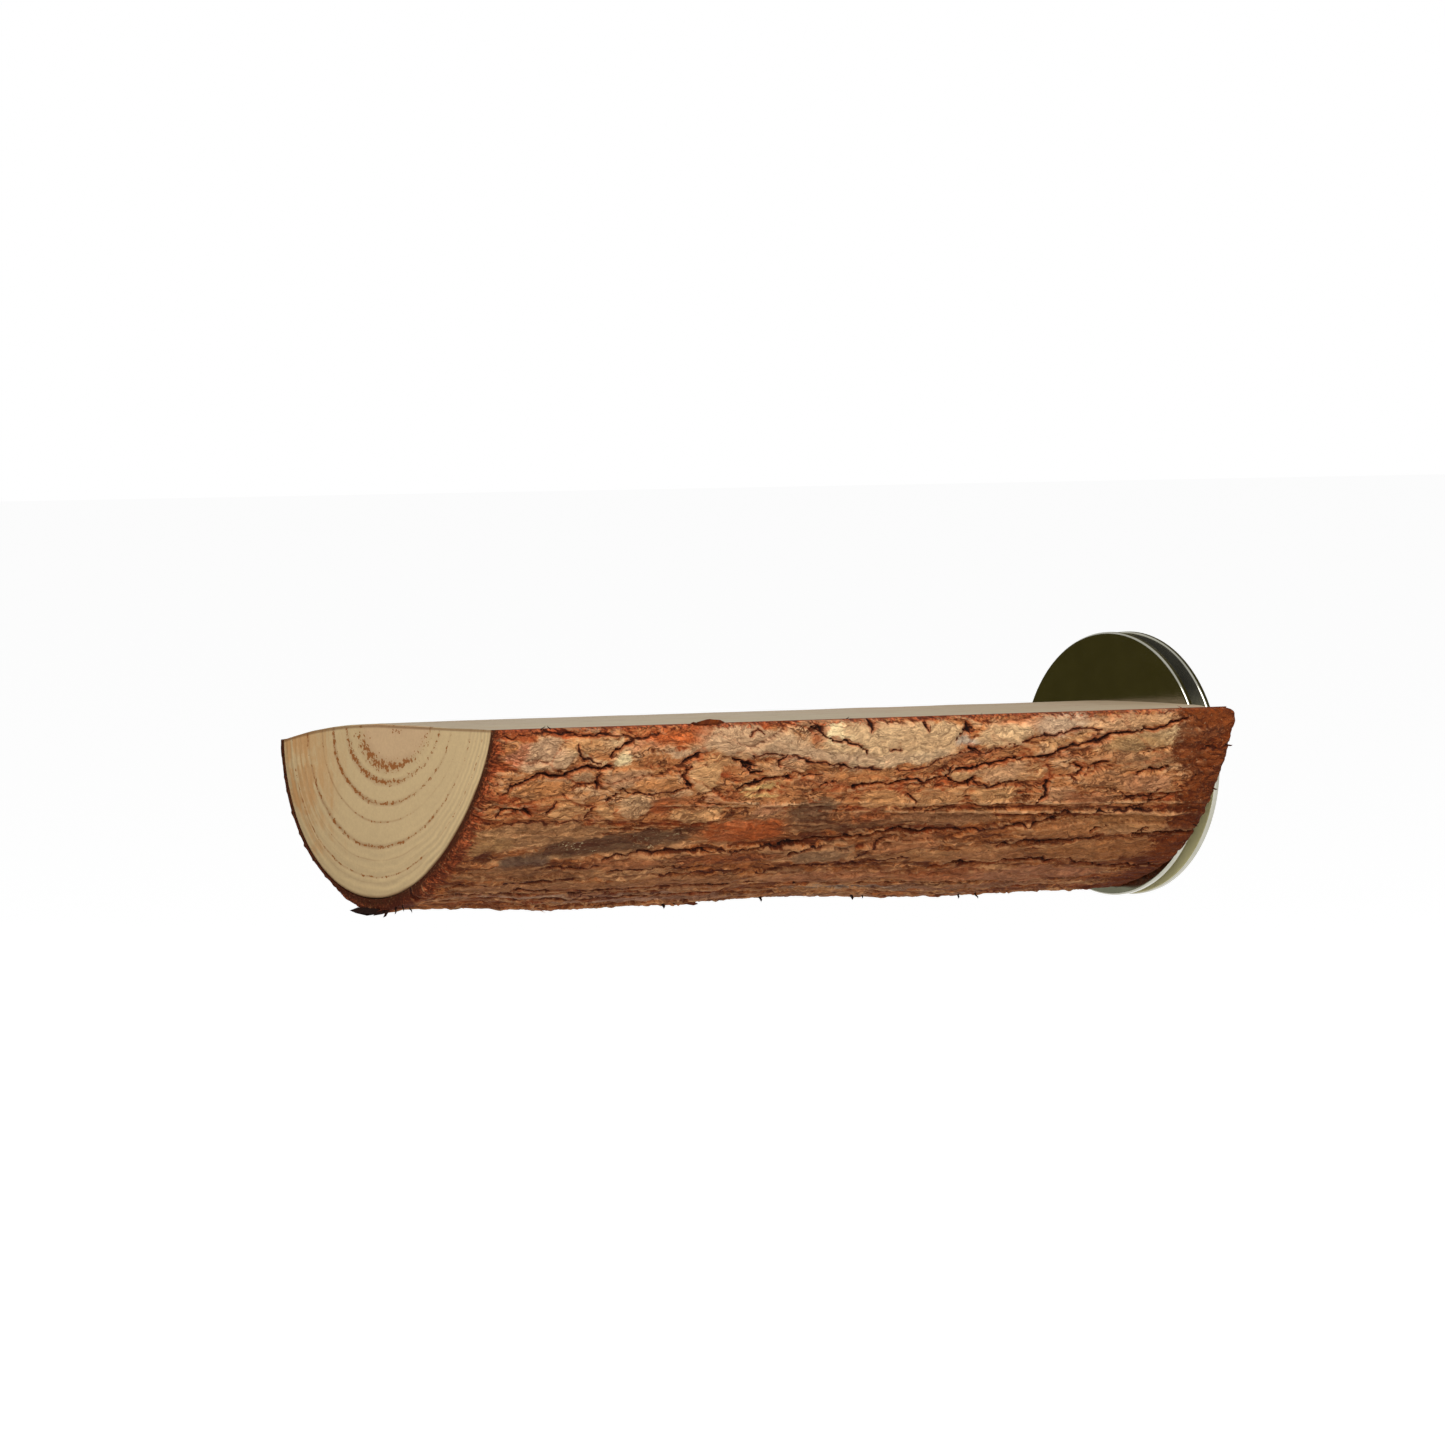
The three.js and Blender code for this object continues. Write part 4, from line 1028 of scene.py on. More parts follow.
@dataclass
class Bark:
    """The bark: a closed shell round the wood, with plates, flakes and cracks in relief.

    The left side, which is turned end for end, has the same plates and cracks as the right side.
    """

    section: LogSection
    relief: Relief = Relief()
    thickness: float = 2.1 * MM
    fit: float = 0.1 * MM
    least_thickness: float = 0.3 * MM
    round_steps: int = 268
    along_steps: int = 309
    side_round_width: float = 2.0 * MM
    side_round_depth: float = 0.9 * MM
    near_bevel_width: float = 4.0 * MM
    near_bevel_depth: float = 1.5 * MM
    under_bevel_loss: float = 0.75  # the share of that bevel which its underside lacks
    far_round_width: float = 1.2 * MM
    far_round_depth: float = 0.35 * MM
    corner_radius: float = 1.9 * MM
    far_swell: float = 0.9 * MM
    swell_angle: float = math.radians(-52)
    swell_spread: float = math.radians(24)
    under_angle: float = math.radians(-93)
    under_spread: float = math.radians(26)
    under_wear: tuple[Pair, ...] = (
        (0, 0.2), (2.5, 0.4), (4.5, 0.8), (15, 0.8), (21.5, 0.3), (28, 0.3), (29, 0.05), (42.5, 0.3),
        (55.3, 0.3), (56.8, 0.65), (67, 0.75), (75, 0.75), (84, 0.6), (94.5, 0.05), (104.5, 0), (113, 0.15),
        (124, 0.3), (136, 0.35),
    )  # millimetres along the log, and worn off its underside there
    left_wear: tuple[Pair, ...] = (
        (0, 0), (0.56, 0), (0.68, 0.7), (0.8, 1.1), (1, 1.45),
    )  # share of the way round, and millimetres worn off there
    wobble_size: float = 3.1 * MM
    wobble_share: float = 0.45
    lump_height: float = 0.26 * MM
    lump_length: float = 1.4 * MM
    lump_width: float = 0.62 * MM
    relief_room: float = 0.8 * MM  # over the least thickness, where the relief has its full height
    sliver_root: float = 0.4  # millimetres of a sliver that stand in the bark, and of its bend
    sliver_bow: float = 0.12
    sliver_flatness: float = 0.6

    def build(self, finish: Material) -> Piece:
        """Makes the bark.

        Args:
            finish: its material.

        Returns:
            The finished piece, as one mesh.
        """
        piece = self._shell()
        piece.data.materials.append(finish)
        return run_tree(piece, self.relief.tree(), {**labelled(self.relief), "Bark Finish": finish})

    def _shell(self) -> Piece:
        """Makes the plain shell.

        Returns:
            The shell, whose points say where on the bark they are and what lies there.
        """
        rows, columns = self.round_steps + 1, self.along_steps + 1
        share = np.tile(np.linspace(0, 1, columns), rows)
        turn = np.repeat(np.linspace(0, 1, rows), columns)
        section = self.section
        angle = section.right_angle + turn * (section.left_angle - section.right_angle)
        along, around = share * section.length, turn * section.girth
        thickness = self._thickness(along, around, turn, angle)
        outer = section.points(angle, share, thickness + self.fit)
        corner_cut = self._rounded(around, self.corner_radius, self.corner_radius)
        last_twentieth = np.clip(share * 20 - 19, 0, 1)
        outer[:, 1] -= corner_cut * last_twentieth
        rim = self._rim_points(rows, columns)
        inner = section.points(angle[rim], share[rim], self.fit)
        inner[:, 1] -= corner_cut[rim] * (share[rim] == 1)
        faces = self._faces(rows, columns, {index: len(outer) + number for number, index in enumerate(rim)})
        shell, loose = self._with_slivers(np.vstack([outer, inner]), faces)
        piece = mesh_object("bark_relief", shell, faces, sharp=50.0)

        far_side = around > section.girth / 2
        x = np.where(far_side, section.length - along, along) / MM
        y = np.where(far_side, section.girth - around, around) / MM
        colour, mask, height, busy = self._plate_fields(x, y)
        near_crack, crack_side = self._crack_fields(x, y)
        outward = np.stack([np.cos(angle), 0 * angle, np.sin(angle)], -1)
        free = np.clip((thickness - self.least_thickness) / self.relief_room, 0.1, 1.0)
        drift = 60.0 + 0.37 * np.arange(loose)[:, None]  # places of their own, so that their colours differ
        redness = np.repeat([sliver.redness for sliver in SLIVERS], loose // len(SLIVERS))[:, None]
        notes = {
            "along_mm": (along / MM, drift),
            "round_mm": (around / MM, 30.0),
            "edge_mm": (y, 20.0),
            "free": (free, 0.0),
            "crack": (near_crack, 0.85),
            "crack_side": (crack_side, redness),
            "plate_mask": (mask, 0.0),
            "plate_height": (height, 0.0),
            "busy": (busy, 0.0),
            "outward": (outward, 0.0),
            "plate_colour": (colour, DARK),
        }
        kinds = {1: ("FLOAT", "value"), 3: ("FLOAT_VECTOR", "vector"), 4: ("FLOAT_COLOR", "color")}
        for name, (values, on_slivers) in notes.items():
            outside = values.reshape(len(around), -1)
            width = outside.shape[1]
            inside = outside[rim] * (name != "free")
            levels = np.vstack([outside, inside, np.zeros((loose, width)) + on_slivers])
            kind, field = kinds[width]
            layer = piece.data.attributes.new(name, kind, "POINT")
            layer.data.foreach_set(field, levels.astype(np.float32).ravel())
        return piece

    @staticmethod
    def _rounded(distance: Array, width: Array | float, depth: float) -> Array:
        """How much a quarter round takes off at a distance from an edge."""
        return depth * (1 - np.sqrt(1 - np.clip(1 - distance / width, 0, 1) ** 2))

    def _thickness(self, along: Array, around: Array, turn: Array, angle: Array) -> Array:
        """The bark's thickness at each place before its relief.

        Args:
            along, around: metres along the log and round it.
            turn: share of the way round.
            angle: radians from +X towards +Z.

        Returns:
            The thickness in metres.
        """
        size = self.wobble_size
        wobble = 1 + self.wobble_share * value_noise(along / size, around / size, self.relief.seed)
        from_side = np.minimum(around, self.section.girth - around)
        side = self._rounded(from_side, self.side_round_width * wobble, self.side_round_depth)
        near = self._rounded(along, self.near_bevel_width * wobble, self.near_bevel_depth)
        far = self._rounded(self.section.length - along, self.far_round_width, self.far_round_depth)
        under = np.exp(-(((angle - self.under_angle) / self.under_spread) ** 4))
        worn = np.interp(along / MM, *zip(*self.under_wear)) * under * MM
        worn += np.interp(turn, *zip(*self.left_wear)) * MM
        lean = np.exp(-(((angle - self.swell_angle) / self.swell_spread) ** 2))
        swell = self.far_swell * lean * np.clip(along / self.section.length, 0, 1) ** 4
        cut = np.maximum(np.maximum(side, near * (1 - self.under_bevel_loss * under)), far)
        lumps = value_noise(around / self.lump_width, along / self.lump_length, self.relief.seed + 1)
        plain = np.maximum(self.thickness - cut - worn + swell, self.least_thickness)
        return plain + self.lump_height * np.clip(lumps, 0, 1)

    def _with_slivers(self, vertices: Array, faces: list) -> tuple[Array, int]:
        """Adds the slivers as slim closed spindles whose feet stand in the bark.

        Args:
            vertices: the shell's points.
            faces: the shell's faces, to which the slivers' ones are added.

        Returns:
            All points, and how many of them are the slivers'.
        """
        added = []
        for sliver in SLIVERS:
            row = min(round(sliver.round * MM / self.section.girth * self.round_steps), self.round_steps)
            column = min(round(sliver.along * MM / self.section.length * self.along_steps), self.along_steps)
            aim = Vector(sliver.heading).normalized()
            side = aim.orthogonal().normalized()
            lift = aim.cross(side)
            foot = Vector(vertices[row * (self.along_steps + 1) + column]) - aim * self.sliver_root * MM
            first = len(vertices) + len(added)
            for share, width in ((0.0, 0.55), (0.35, 1.0), (0.75, 0.72)):
                bow = side * self.sliver_bow * MM * math.sin(share * 5)
                centre = foot + aim * sliver.length * MM * share + bow
                reach = sliver.width * MM / 2 * width
                for turn in (2 * math.pi * k / 5 for k in range(5)):
                    rise = lift * math.sin(turn) * reach * self.sliver_flatness
                    added.append(centre + side * math.cos(turn) * reach + rise)
            added.append(foot + aim * sliver.length * MM)
            for ring in (0, 5):
                for k in range(5):
                    a, b = first + ring + k, first + ring + (k + 1) % 5
                    faces.append((a, b, b + 5, a + 5))
            faces.extend((first + 10 + k, first + 10 + (k + 1) % 5, first + 15) for k in range(5))
            faces.append(tuple(first + k for k in range(5)))
        return np.vstack([vertices, [tuple(p) for p in added]]), len(added)

    @staticmethod
    def _rim_points(rows: int, columns: int) -> list[int]:
        """Finds the points along the four edges, below which the inner points lie.

        Args:
            rows, columns: how many rows of points the outer side has, and how many points a row has.

        Returns:
            Their numbers.
        """
        last = (rows - 1) * columns
        ends = [i * columns + end for i in range(1, rows - 1) for end in (0, columns - 1)]
        return list(range(columns)) + list(range(last, last + columns)) + ends

    @staticmethod
    def _faces(rows: int, columns: int, inner: dict[int, int]) -> list[tuple[int, ...]]:
        """The shell's faces: its outer side, its rims and its inner side, straight from end to end.

        Args:
            rows, columns: how many rows of points the outer side has, and how many points a row has.
            inner: the inner point below each outer point of the edges.

        Returns:
            The corners of each face.
        """
        def corner(i: int, j: int) -> int:
            """The number of an outer point."""
            return i * columns + j

        far, last = columns - 1, rows - 1
        faces = [
            (corner(i, j), corner(i, j + 1), corner(i + 1, j + 1), corner(i + 1, j))
            for i in range(last)
            for j in range(far)
        ]
        rims = [(corner(i, j), corner(i, j + 1)) for i in (0, last) for j in range(far)]
        rims += [(corner(i, j), corner(i + 1, j)) for j in (0, far) for i in range(last)]
        faces += [(a, b, inner[b], inner[a]) for a, b in rims]
        for i in range(1, rows - 2):
            faces.append(tuple(inner[corner(*c)] for c in ((i, 0), (i + 1, 0), (i + 1, far), (i, far))))
        for edge, beside in ((0, 1), (last, last - 1)):
            line = [inner[corner(edge, j)] for j in range(columns)]
            faces.append(tuple(line + [inner[corner(beside, far)], inner[corner(beside, 0)]]))
        return faces

    @staticmethod
    def _crack_fields(along: Array, around: Array) -> tuple[Array, Array]:
        """How each place lies to the nearest stated crack.

        Args:
            along, around: the places, in millimetres.

        Returns:
            How near it is, 1 on it and 0 at four half widths, and its distance in half widths with a sign
            for the side, so that a value between two points is right too.
        """
        reach = 4.0
        x = wavered(along, along, around, (0.5, 1.3, 0.9, 3), (0.22, 0.5, 0.5, 4))
        y = wavered(around, along, around, (0.36, 1.2, 0.9, 5), (0.17, 0.5, 0.5, 6))
        swell = 1 + 0.5 * value_noise(along / 1.7, around / 3.0, 7)
        nearness, beside = np.zeros_like(along), np.full_like(along, reach)
        for crack in CRACKS:
            for (x0, y0), (x1, y1) in zip(crack.route, crack.route[1:]):
                dx, dy = x1 - x0, y1 - y0
                part = np.clip(((x - x0) * dx + (y - y0) * dy) / (dx * dx + dy * dy), 0, 1)
                distance = np.hypot(x - x0 - part * dx, y - y0 - part * dy) / (crack.half_width * swell)
                close = np.clip(1 - distance / reach, 0, 1) * crack.depth
                side = np.sign(dx * (y - y0) - dy * (x - x0))
                beside = np.where(close > nearness, side * distance, beside)
                nearness = np.maximum(nearness, close)
        return nearness, beside

    @staticmethod
    def _plate_fields(along: Array, around: Array) -> tuple[Array, ...]:
        """What the stated plates make of each place. They are oval, with corners between round and square.

        Args:
            along, around: the places, in millimetres.

        Returns:
            The plates' colour, how much it shows, their height in millimetres and how busy the bark is.
        """
        corners = 2.6
        x = wavered(along, along, around, (1.5, 4.0, 2.0, 21), (0.6, 1.2, 0.8, 22))
        y = wavered(around, along, around, (0.5, 3.0, 1.6, 23), (0.28, 0.9, 0.7, 24))
        colour = np.tile(np.array(TAN), (len(along), 1))
        mask, height = np.zeros_like(along), np.zeros_like(along)
        busy = 1 - 0.35 * np.clip((around - 12) / 6, 0, 1)
        for plate in PLATES:
            cos, sin = math.cos(math.radians(plate.tilt)), math.sin(math.radians(plate.tilt))
            dx, dy = x - plate.along, y - plate.round
            across = (dx * cos + dy * sin) / plate.half_length
            down = (dy * cos - dx * sin) / plate.half_width
            inside = 1 - (np.abs(across) ** corners + np.abs(down) ** corners) ** (1 / corners)
            cover = np.clip(inside * plate.half_width / 0.8 + 0.5, 0, 1)
            colour += (np.array(plate.colour) - colour) * cover[:, None]
            mask += (plate.strength - mask) * cover
            height += (plate.height - height) * cover
            busy += ((1 - plate.calm) - busy) * cover * 0.9
        return colour, mask, height, busy


@dataclass
class WoodCore:
    """The wood of the half log, sawn flat on top and sanded round its edges."""

    section: LogSection
    arc_steps: int = 96
    top_steps: int = 64
    along_steps: int = 90
    edge_round: float = 0.35 * MM
    far_corner: float = 1.4 * MM  # fall of the cage end's right corner, and its shares of length and width
    far_corner_length: float = 0.04
    far_corner_width: float = 0.3
    saw_waves: float = 0.05 * MM
    wave_width: float = 2.5 * MM
    wave_length: float = 9 * MM
    hole_radius: float = 3.1 * MM
    hole_depth: float = 25.2 * MM

    def build(self, finish: Material) -> Piece:
        """Makes the wood, with the screw's hole in its cage end.

        Args:
            finish: its material.

        Returns:
            The finished piece.
        """
        rings = [self._ring(share, inset) for share, inset in self._stations()]
        faces = tube_faces(len(rings), len(rings[0]))
        piece = mesh_object("wood_core", np.vstack(rings), faces, sharp=30.0)
        piece.data.materials.append(finish)
        hole = (self.section.back + 1 * MM, self.section.back - self.hole_depth)
        drilled(piece, self.hole_radius, hole, sides=48, sharp=30.0)
        return piece

    def _stations(self) -> list[Pair]:
        """Where the rings lie, which are close together round both end edges.

        Returns:
            Shares of the length, each with how far the outline is drawn in there.
        """
        length, bend = self.section.length, self.edge_round
        near = [(bend * (1 - math.cos(a)) / length, bend * (1 - math.sin(a))) for a in (0, 0.5, 1.0)]
        shares = np.linspace(2 * bend / length, 1 - 2 * bend / length, self.along_steps)
        far = [(1 - share, inset) for share, inset in reversed(near)]
        return near + [(share, 0.0) for share in shares] + far

    def _ring(self, share: float, inset: float) -> Array:
        """The wood's outline at one place: round its underside and back over its sawn top.

        Args:
            share: of the length, from the free end.
            inset: metres that the outline is drawn in by.

        Returns:
            One row of x, y, z for each point.
        """
        section = self.section
        along = share * section.length
        angle = np.linspace(section.left_angle, section.right_angle, self.arc_steps + 1)
        arc = section.points(angle, np.full_like(angle, share), -inset)
        arc[:, 2] = np.minimum(arc[:, 2], section.top - inset)
        right, left = arc[-1], arc[0]
        x = np.linspace(right[0], left[0], self.top_steps + 1)[1:-1]
        on_right = x > section.pith_x
        right_share = (x - section.pith_x) / (right[0] - section.pith_x)
        left_share = (section.pith_x - x) / (section.pith_x - left[0])
        out_share = np.where(on_right, right_share, left_share)
        fall = np.where(on_right, section.top - right[2], section.top - left[2])
        row = np.full_like(x, along / self.wave_length)
        wave = self.saw_waves * value_noise(x / self.wave_width, row, 31)
        near_end = np.clip((share - (1 - self.far_corner_length)) / self.far_corner_length, 0, 1)
        near_side = np.clip((out_share - (1 - self.far_corner_width)) / self.far_corner_width, 0, 1)
        z = section.top - inset - (fall - inset) * out_share ** 2 + wave - self.saw_waves
        z -= self.far_corner * (near_end ** 2 * near_side ** 2) * on_right
        return np.vstack([arc, np.stack([x, np.full_like(x, section.front + along), z], -1)])


class WasherPlace(Enum):
    """Which side of the cage wires a washer lies on."""

    INNER = "inner_washer"
    OUTER = "outer_washer"


@dataclass
class Washer:
    """A wide stamped washer: one face's edge is rolled by the punch, the other's is crisp."""

    place: WasherPlace
    sides: int = 180
    hole_radius: float = 3.2 * MM
    rolled: float = 0.26 * MM
    crisp: float = 0.06 * MM

    def build(self, finish: Material) -> Piece:
        """Makes the washer in its node's place, with its rolled edge to the front.

        Args:
            finish: its material.

        Returns:
            The finished piece.
        """
        low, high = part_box(self.place.value)
        rim, hole = (high[0], -1), (self.hole_radius, 1)
        front, back = (low[1], 1, self.rolled), (high[1], -1, self.crisp)
        outer = self._corner(*rim, *front) + self._corner(*rim, *back)[::-1]
        profile = outer + self._corner(*hole, *back) + self._corner(*hole, *front)[::-1]
        piece = lathe(f"{self.place.value}_stamped", profile, self.sides, sharp=30.0)
        piece.data.materials.append(finish)
        return piece

    @staticmethod
    def _corner(radius: float, inward: int, y: float, behind: int, size: float) -> Profile:
        """The points of a rounded corner, from its flat face, which stays flat up to there, to its rim.

        Args:
            radius: of the rim.
            inward: 1 where the metal lies outside that radius, and -1 where it lies inside.
            y: of the flat face.
            behind: 1 where the metal lies behind that face, and -1 where it lies in front.
            size: the corner's radius, in metres.

        Returns:
            The (radius, y) points.
        """
        bend = []
        for turn in (math.radians(a) for a in (0, 30, 60, 90)):
            across, back = 1 - math.sin(turn), 1 - math.cos(turn)
            bend.append((radius + inward * size * across, y + behind * size * back))
        return [(bend[0][0] + inward * 0.1 * MM, y), *bend, (radius, bend[-1][1] + behind * 0.05 * MM)]


@dataclass(frozen=True)
class Thread:
    """A right-hand thread on a rod along +Y. Sizes in metres, and steps to a pitch and to a turn."""

    start: float
    end: float
    pitch: float
    root_radius: float
    start_taper: float
    end_taper: float
    steps: int
    crest_radius: float = 2.95 * MM
    sides: int = 48

    def rod(self, name: str, tree: Tree, metal: Material) -> Piece:
        """Runs a thread's tree on an empty piece.

        Args:
            name: what the rod is called.
            tree: the tree that winds it.
            metal: its material.

        Returns:
            The threaded rod.
        """
        piece = mesh_object(name, np.zeros((0, 3)), [])
        run_tree(piece, tree, {**labelled(self), "Metal": metal})
        tidy_mesh(piece.data, sharp=50.0)
        return piece

    def tree(self) -> Tree:
        """Geometry Nodes that wind a grid into a threaded rod, whose rows follow the helix.

        Returns:
            The tree, with this thread's sizes as its defaults.
        """
        inputs = {"Geometry": "Geometry", **labelled(self), "Metal": "Material"}
        graph = new_group("Threaded Rod", "GeometryNodeTree", inputs, {"Geometry": "Geometry"})
        given = graph.given
        names = ("Start", "End", "Pitch", "Steps", "Crest Radius", "Root Radius", "Start Taper")
        start, end, pitch, steps, crest, root, taper = (given(name) for name in names)
        tiny = 1e-5
        rows = (((end - start) / pitch).math("CEIL") + 1.0) * steps
        inputs = {"Size X": 1.0, "Size Y": 1.0, "Vertices X": rows + 1.0, "Vertices Y": given("Sides") + 1.0}
        grid = graph.add("GeometryNodeMeshGrid", inputs, "Mesh")
        x, y, _ = graph.add("GeometryNodeInputPosition").parts()
        step = ((x + 0.5) * rows).math("ROUND")
        turn = y + 0.5
        phase = ((step + 0.01) / steps).math("FRACT")
        level = step / steps + turn - 1.0
        height = (level * pitch + start).most(start).least(end)
        radius = abs(phase - 0.5).ramp(0.1, 0.42, 1.0, 0.0) * (crest - root) + root
        tip = crest * 0.12 + (height - start) / taper.most(tiny) * crest
        radius = radius.least(tip.most(taper.math("LESS_THAN", tiny) * root))
        cut = crest - (given("End Taper") - (end - height))
        radius = radius.least(cut.most(0.0))
        radius = radius * (step.math("GREATER_THAN", 0.5) * step.math("LESS_THAN", rows - 0.5))
        angle = turn * (2 * math.pi)
        spot = graph.combine(radius * angle.math("SINE"), height, radius * angle.math("COSINE"))
        moved = graph.add("GeometryNodeSetPosition", {"Geometry": grid, "Position": spot})
        merged = graph.add("GeometryNodeMergeByDistance", {"Geometry": moved, "Distance": 0.004 * MM})
        graph.finish(merged, given("Metal"))
        return graph.tree


@dataclass
class HangerBolt:
    """The hanger bolt: a wood screw in the log and a machine thread through the washers."""

    pitch: float = 1.0 * MM
    root: float = 2.42 * MM
    end_taper: float = 0.9 * MM
    screw_pitch: float = 2.6 * MM
    screw_root: float = 2.1 * MM
    screw_point: float = 5.0 * MM
    neck_length: float = 3.0 * MM
    lap: float = 0.3 * MM

    def build(self, section: LogSection, finish: Material) -> Piece:
        """Makes both threads and the plain neck between them, as one piece.

        Args:
            section: the log, in whose end face the bolt stands.
            finish: its material.

        Returns:
            The finished piece.
        """
        low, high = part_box("hanger_bolt")
        neck_end = section.back - self.neck_length
        machine = Thread(section.back, high[1], self.pitch, self.root, 0.0, self.end_taper, steps=10)
        screw = Thread(low[1], neck_end, self.screw_pitch, self.screw_root, self.screw_point, 0.0, steps=12)
        tree = machine.tree()
        parts = [machine.rod("machine", tree, finish), screw.rod("screw", tree, finish)]
        first, last = neck_end - self.lap, section.back + self.lap
        neck = lathe("neck", [(0, first), (self.root, first), (self.root, last), (0, last)], sides=48)
        neck.data.materials.append(finish)
        return joined("hanger_bolt_threads", [*parts, neck])


@dataclass
class WingNut:
    """The wing nut: a cast hub with two rounded wings that run into it."""

    base_radius: float = 6.2 * MM
    top_radius: float = 4.9 * MM
    collar_height: float = 1.2 * MM
    hub_height: float = 6.0 * MM
    wing_thickness: float = 2.0 * MM
    tip_radius: float = 2.9 * MM
    foot_height: float = 1.4 * MM
    wing_root: float = 2.0 * MM
    bore: float = 3.03 * MM
    edge_bevel: float = 0.35 * MM
    grain: float = 0.24 * MM
    smoothing: int = 5

    def build(self, finish: Material) -> Piece:
        """Makes the nut in its node's place, its wings up and down.

        Args:
            finish: its material.

        Returns:
            The finished piece.
        """
        low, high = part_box("wing_nut")
        self.base, self.top, self.reach = low[1], high[1], high[2]
        parts = [lathe("hub", self._hub_profile(), sides=96), self._wing(1), self._wing(-1)]
        for part in parts:
            part.data.materials.append(finish)
        piece = joined("wing_nut_cast", parts)
        skin = piece.modifiers.new("cast", "REMESH")
        skin.mode, skin.voxel_size, skin.use_smooth_shade = "VOXEL", self.grain, True
        ease = piece.modifiers.new("ease", "SMOOTH")
        ease.factor, ease.iterations = 0.5, self.smoothing
        baked(piece)
        hole = (self.base - 1 * MM, self.base + self.hub_height + 1 * MM)
        drilled(piece, self.bore, hole, sides=64, sharp=35.0)
        piece.data.materials.clear()
        piece.data.materials.append(finish)
        return piece

    def _hub_profile(self) -> Profile:
        """The hub's outline: a collar, a slight cone and a rounded top.

        Returns:
            Its (radius, y) points.
        """
        base, crown = self.base, self.base + self.hub_height
        return [
            (0, base),
            (self.base_radius, base),
            (self.base_radius, base + self.collar_height),
            (self.base_radius - 0.5 * MM, base + self.collar_height + 0.3 * MM),
            (self.top_radius, crown - 0.5 * MM),
            (self.top_radius - 0.5 * MM, crown),
            (0, crown),
        ]

    def _wing(self, side: int) -> Piece:
        """One wing: a flat form whose outline sweeps up from the hub to a round tip.

        Args:
            side: 1 for the upper wing and -1 for the lower one.

        Returns:
            The wing.
        """
        round_off, crown = self.tip_radius, self.base + self.hub_height
        tip_z, tip_y = self.reach - round_off, self.top - round_off
        outline = [
            (self.wing_root, self.base + self.foot_height),
            (tip_z * 0.72, self.base + self.foot_height + 0.9 * MM),
            (tip_z + 0.6 * round_off, tip_y - 2.4 * MM),
        ]
        for arc in (math.radians(a) for a in range(-30, 195, 15)):
            outline.append((tip_z + round_off * math.cos(arc), tip_y + round_off * math.sin(arc)))
        outline += [
            (tip_z - round_off + 0.3 * MM, tip_y - 1.6 * MM),
            (self.top_radius + 0.5 * MM, crown + 0.4 * MM),
            (self.wing_root, crown - 0.4 * MM),
        ]
        half, bevel = self.wing_thickness / 2, self.edge_bevel
        centre_z = sum(z for z, _ in outline) / len(outline)
        centre_y = sum(y for _, y in outline) / len(outline)
        vertices = []
        for inset, x in ((bevel, half), (0.0, half - bevel), (0.0, -half + bevel), (bevel, -half)):
            shrink = 1 - inset / (4 * MM)
            for z, y in outline:
                reach = side * (centre_z + (z - centre_z) * shrink)
                vertices.append((x * side, centre_y + (y - centre_y) * shrink, reach))
        return mesh_object("wing", vertices, tube_faces(4, len(outline)))


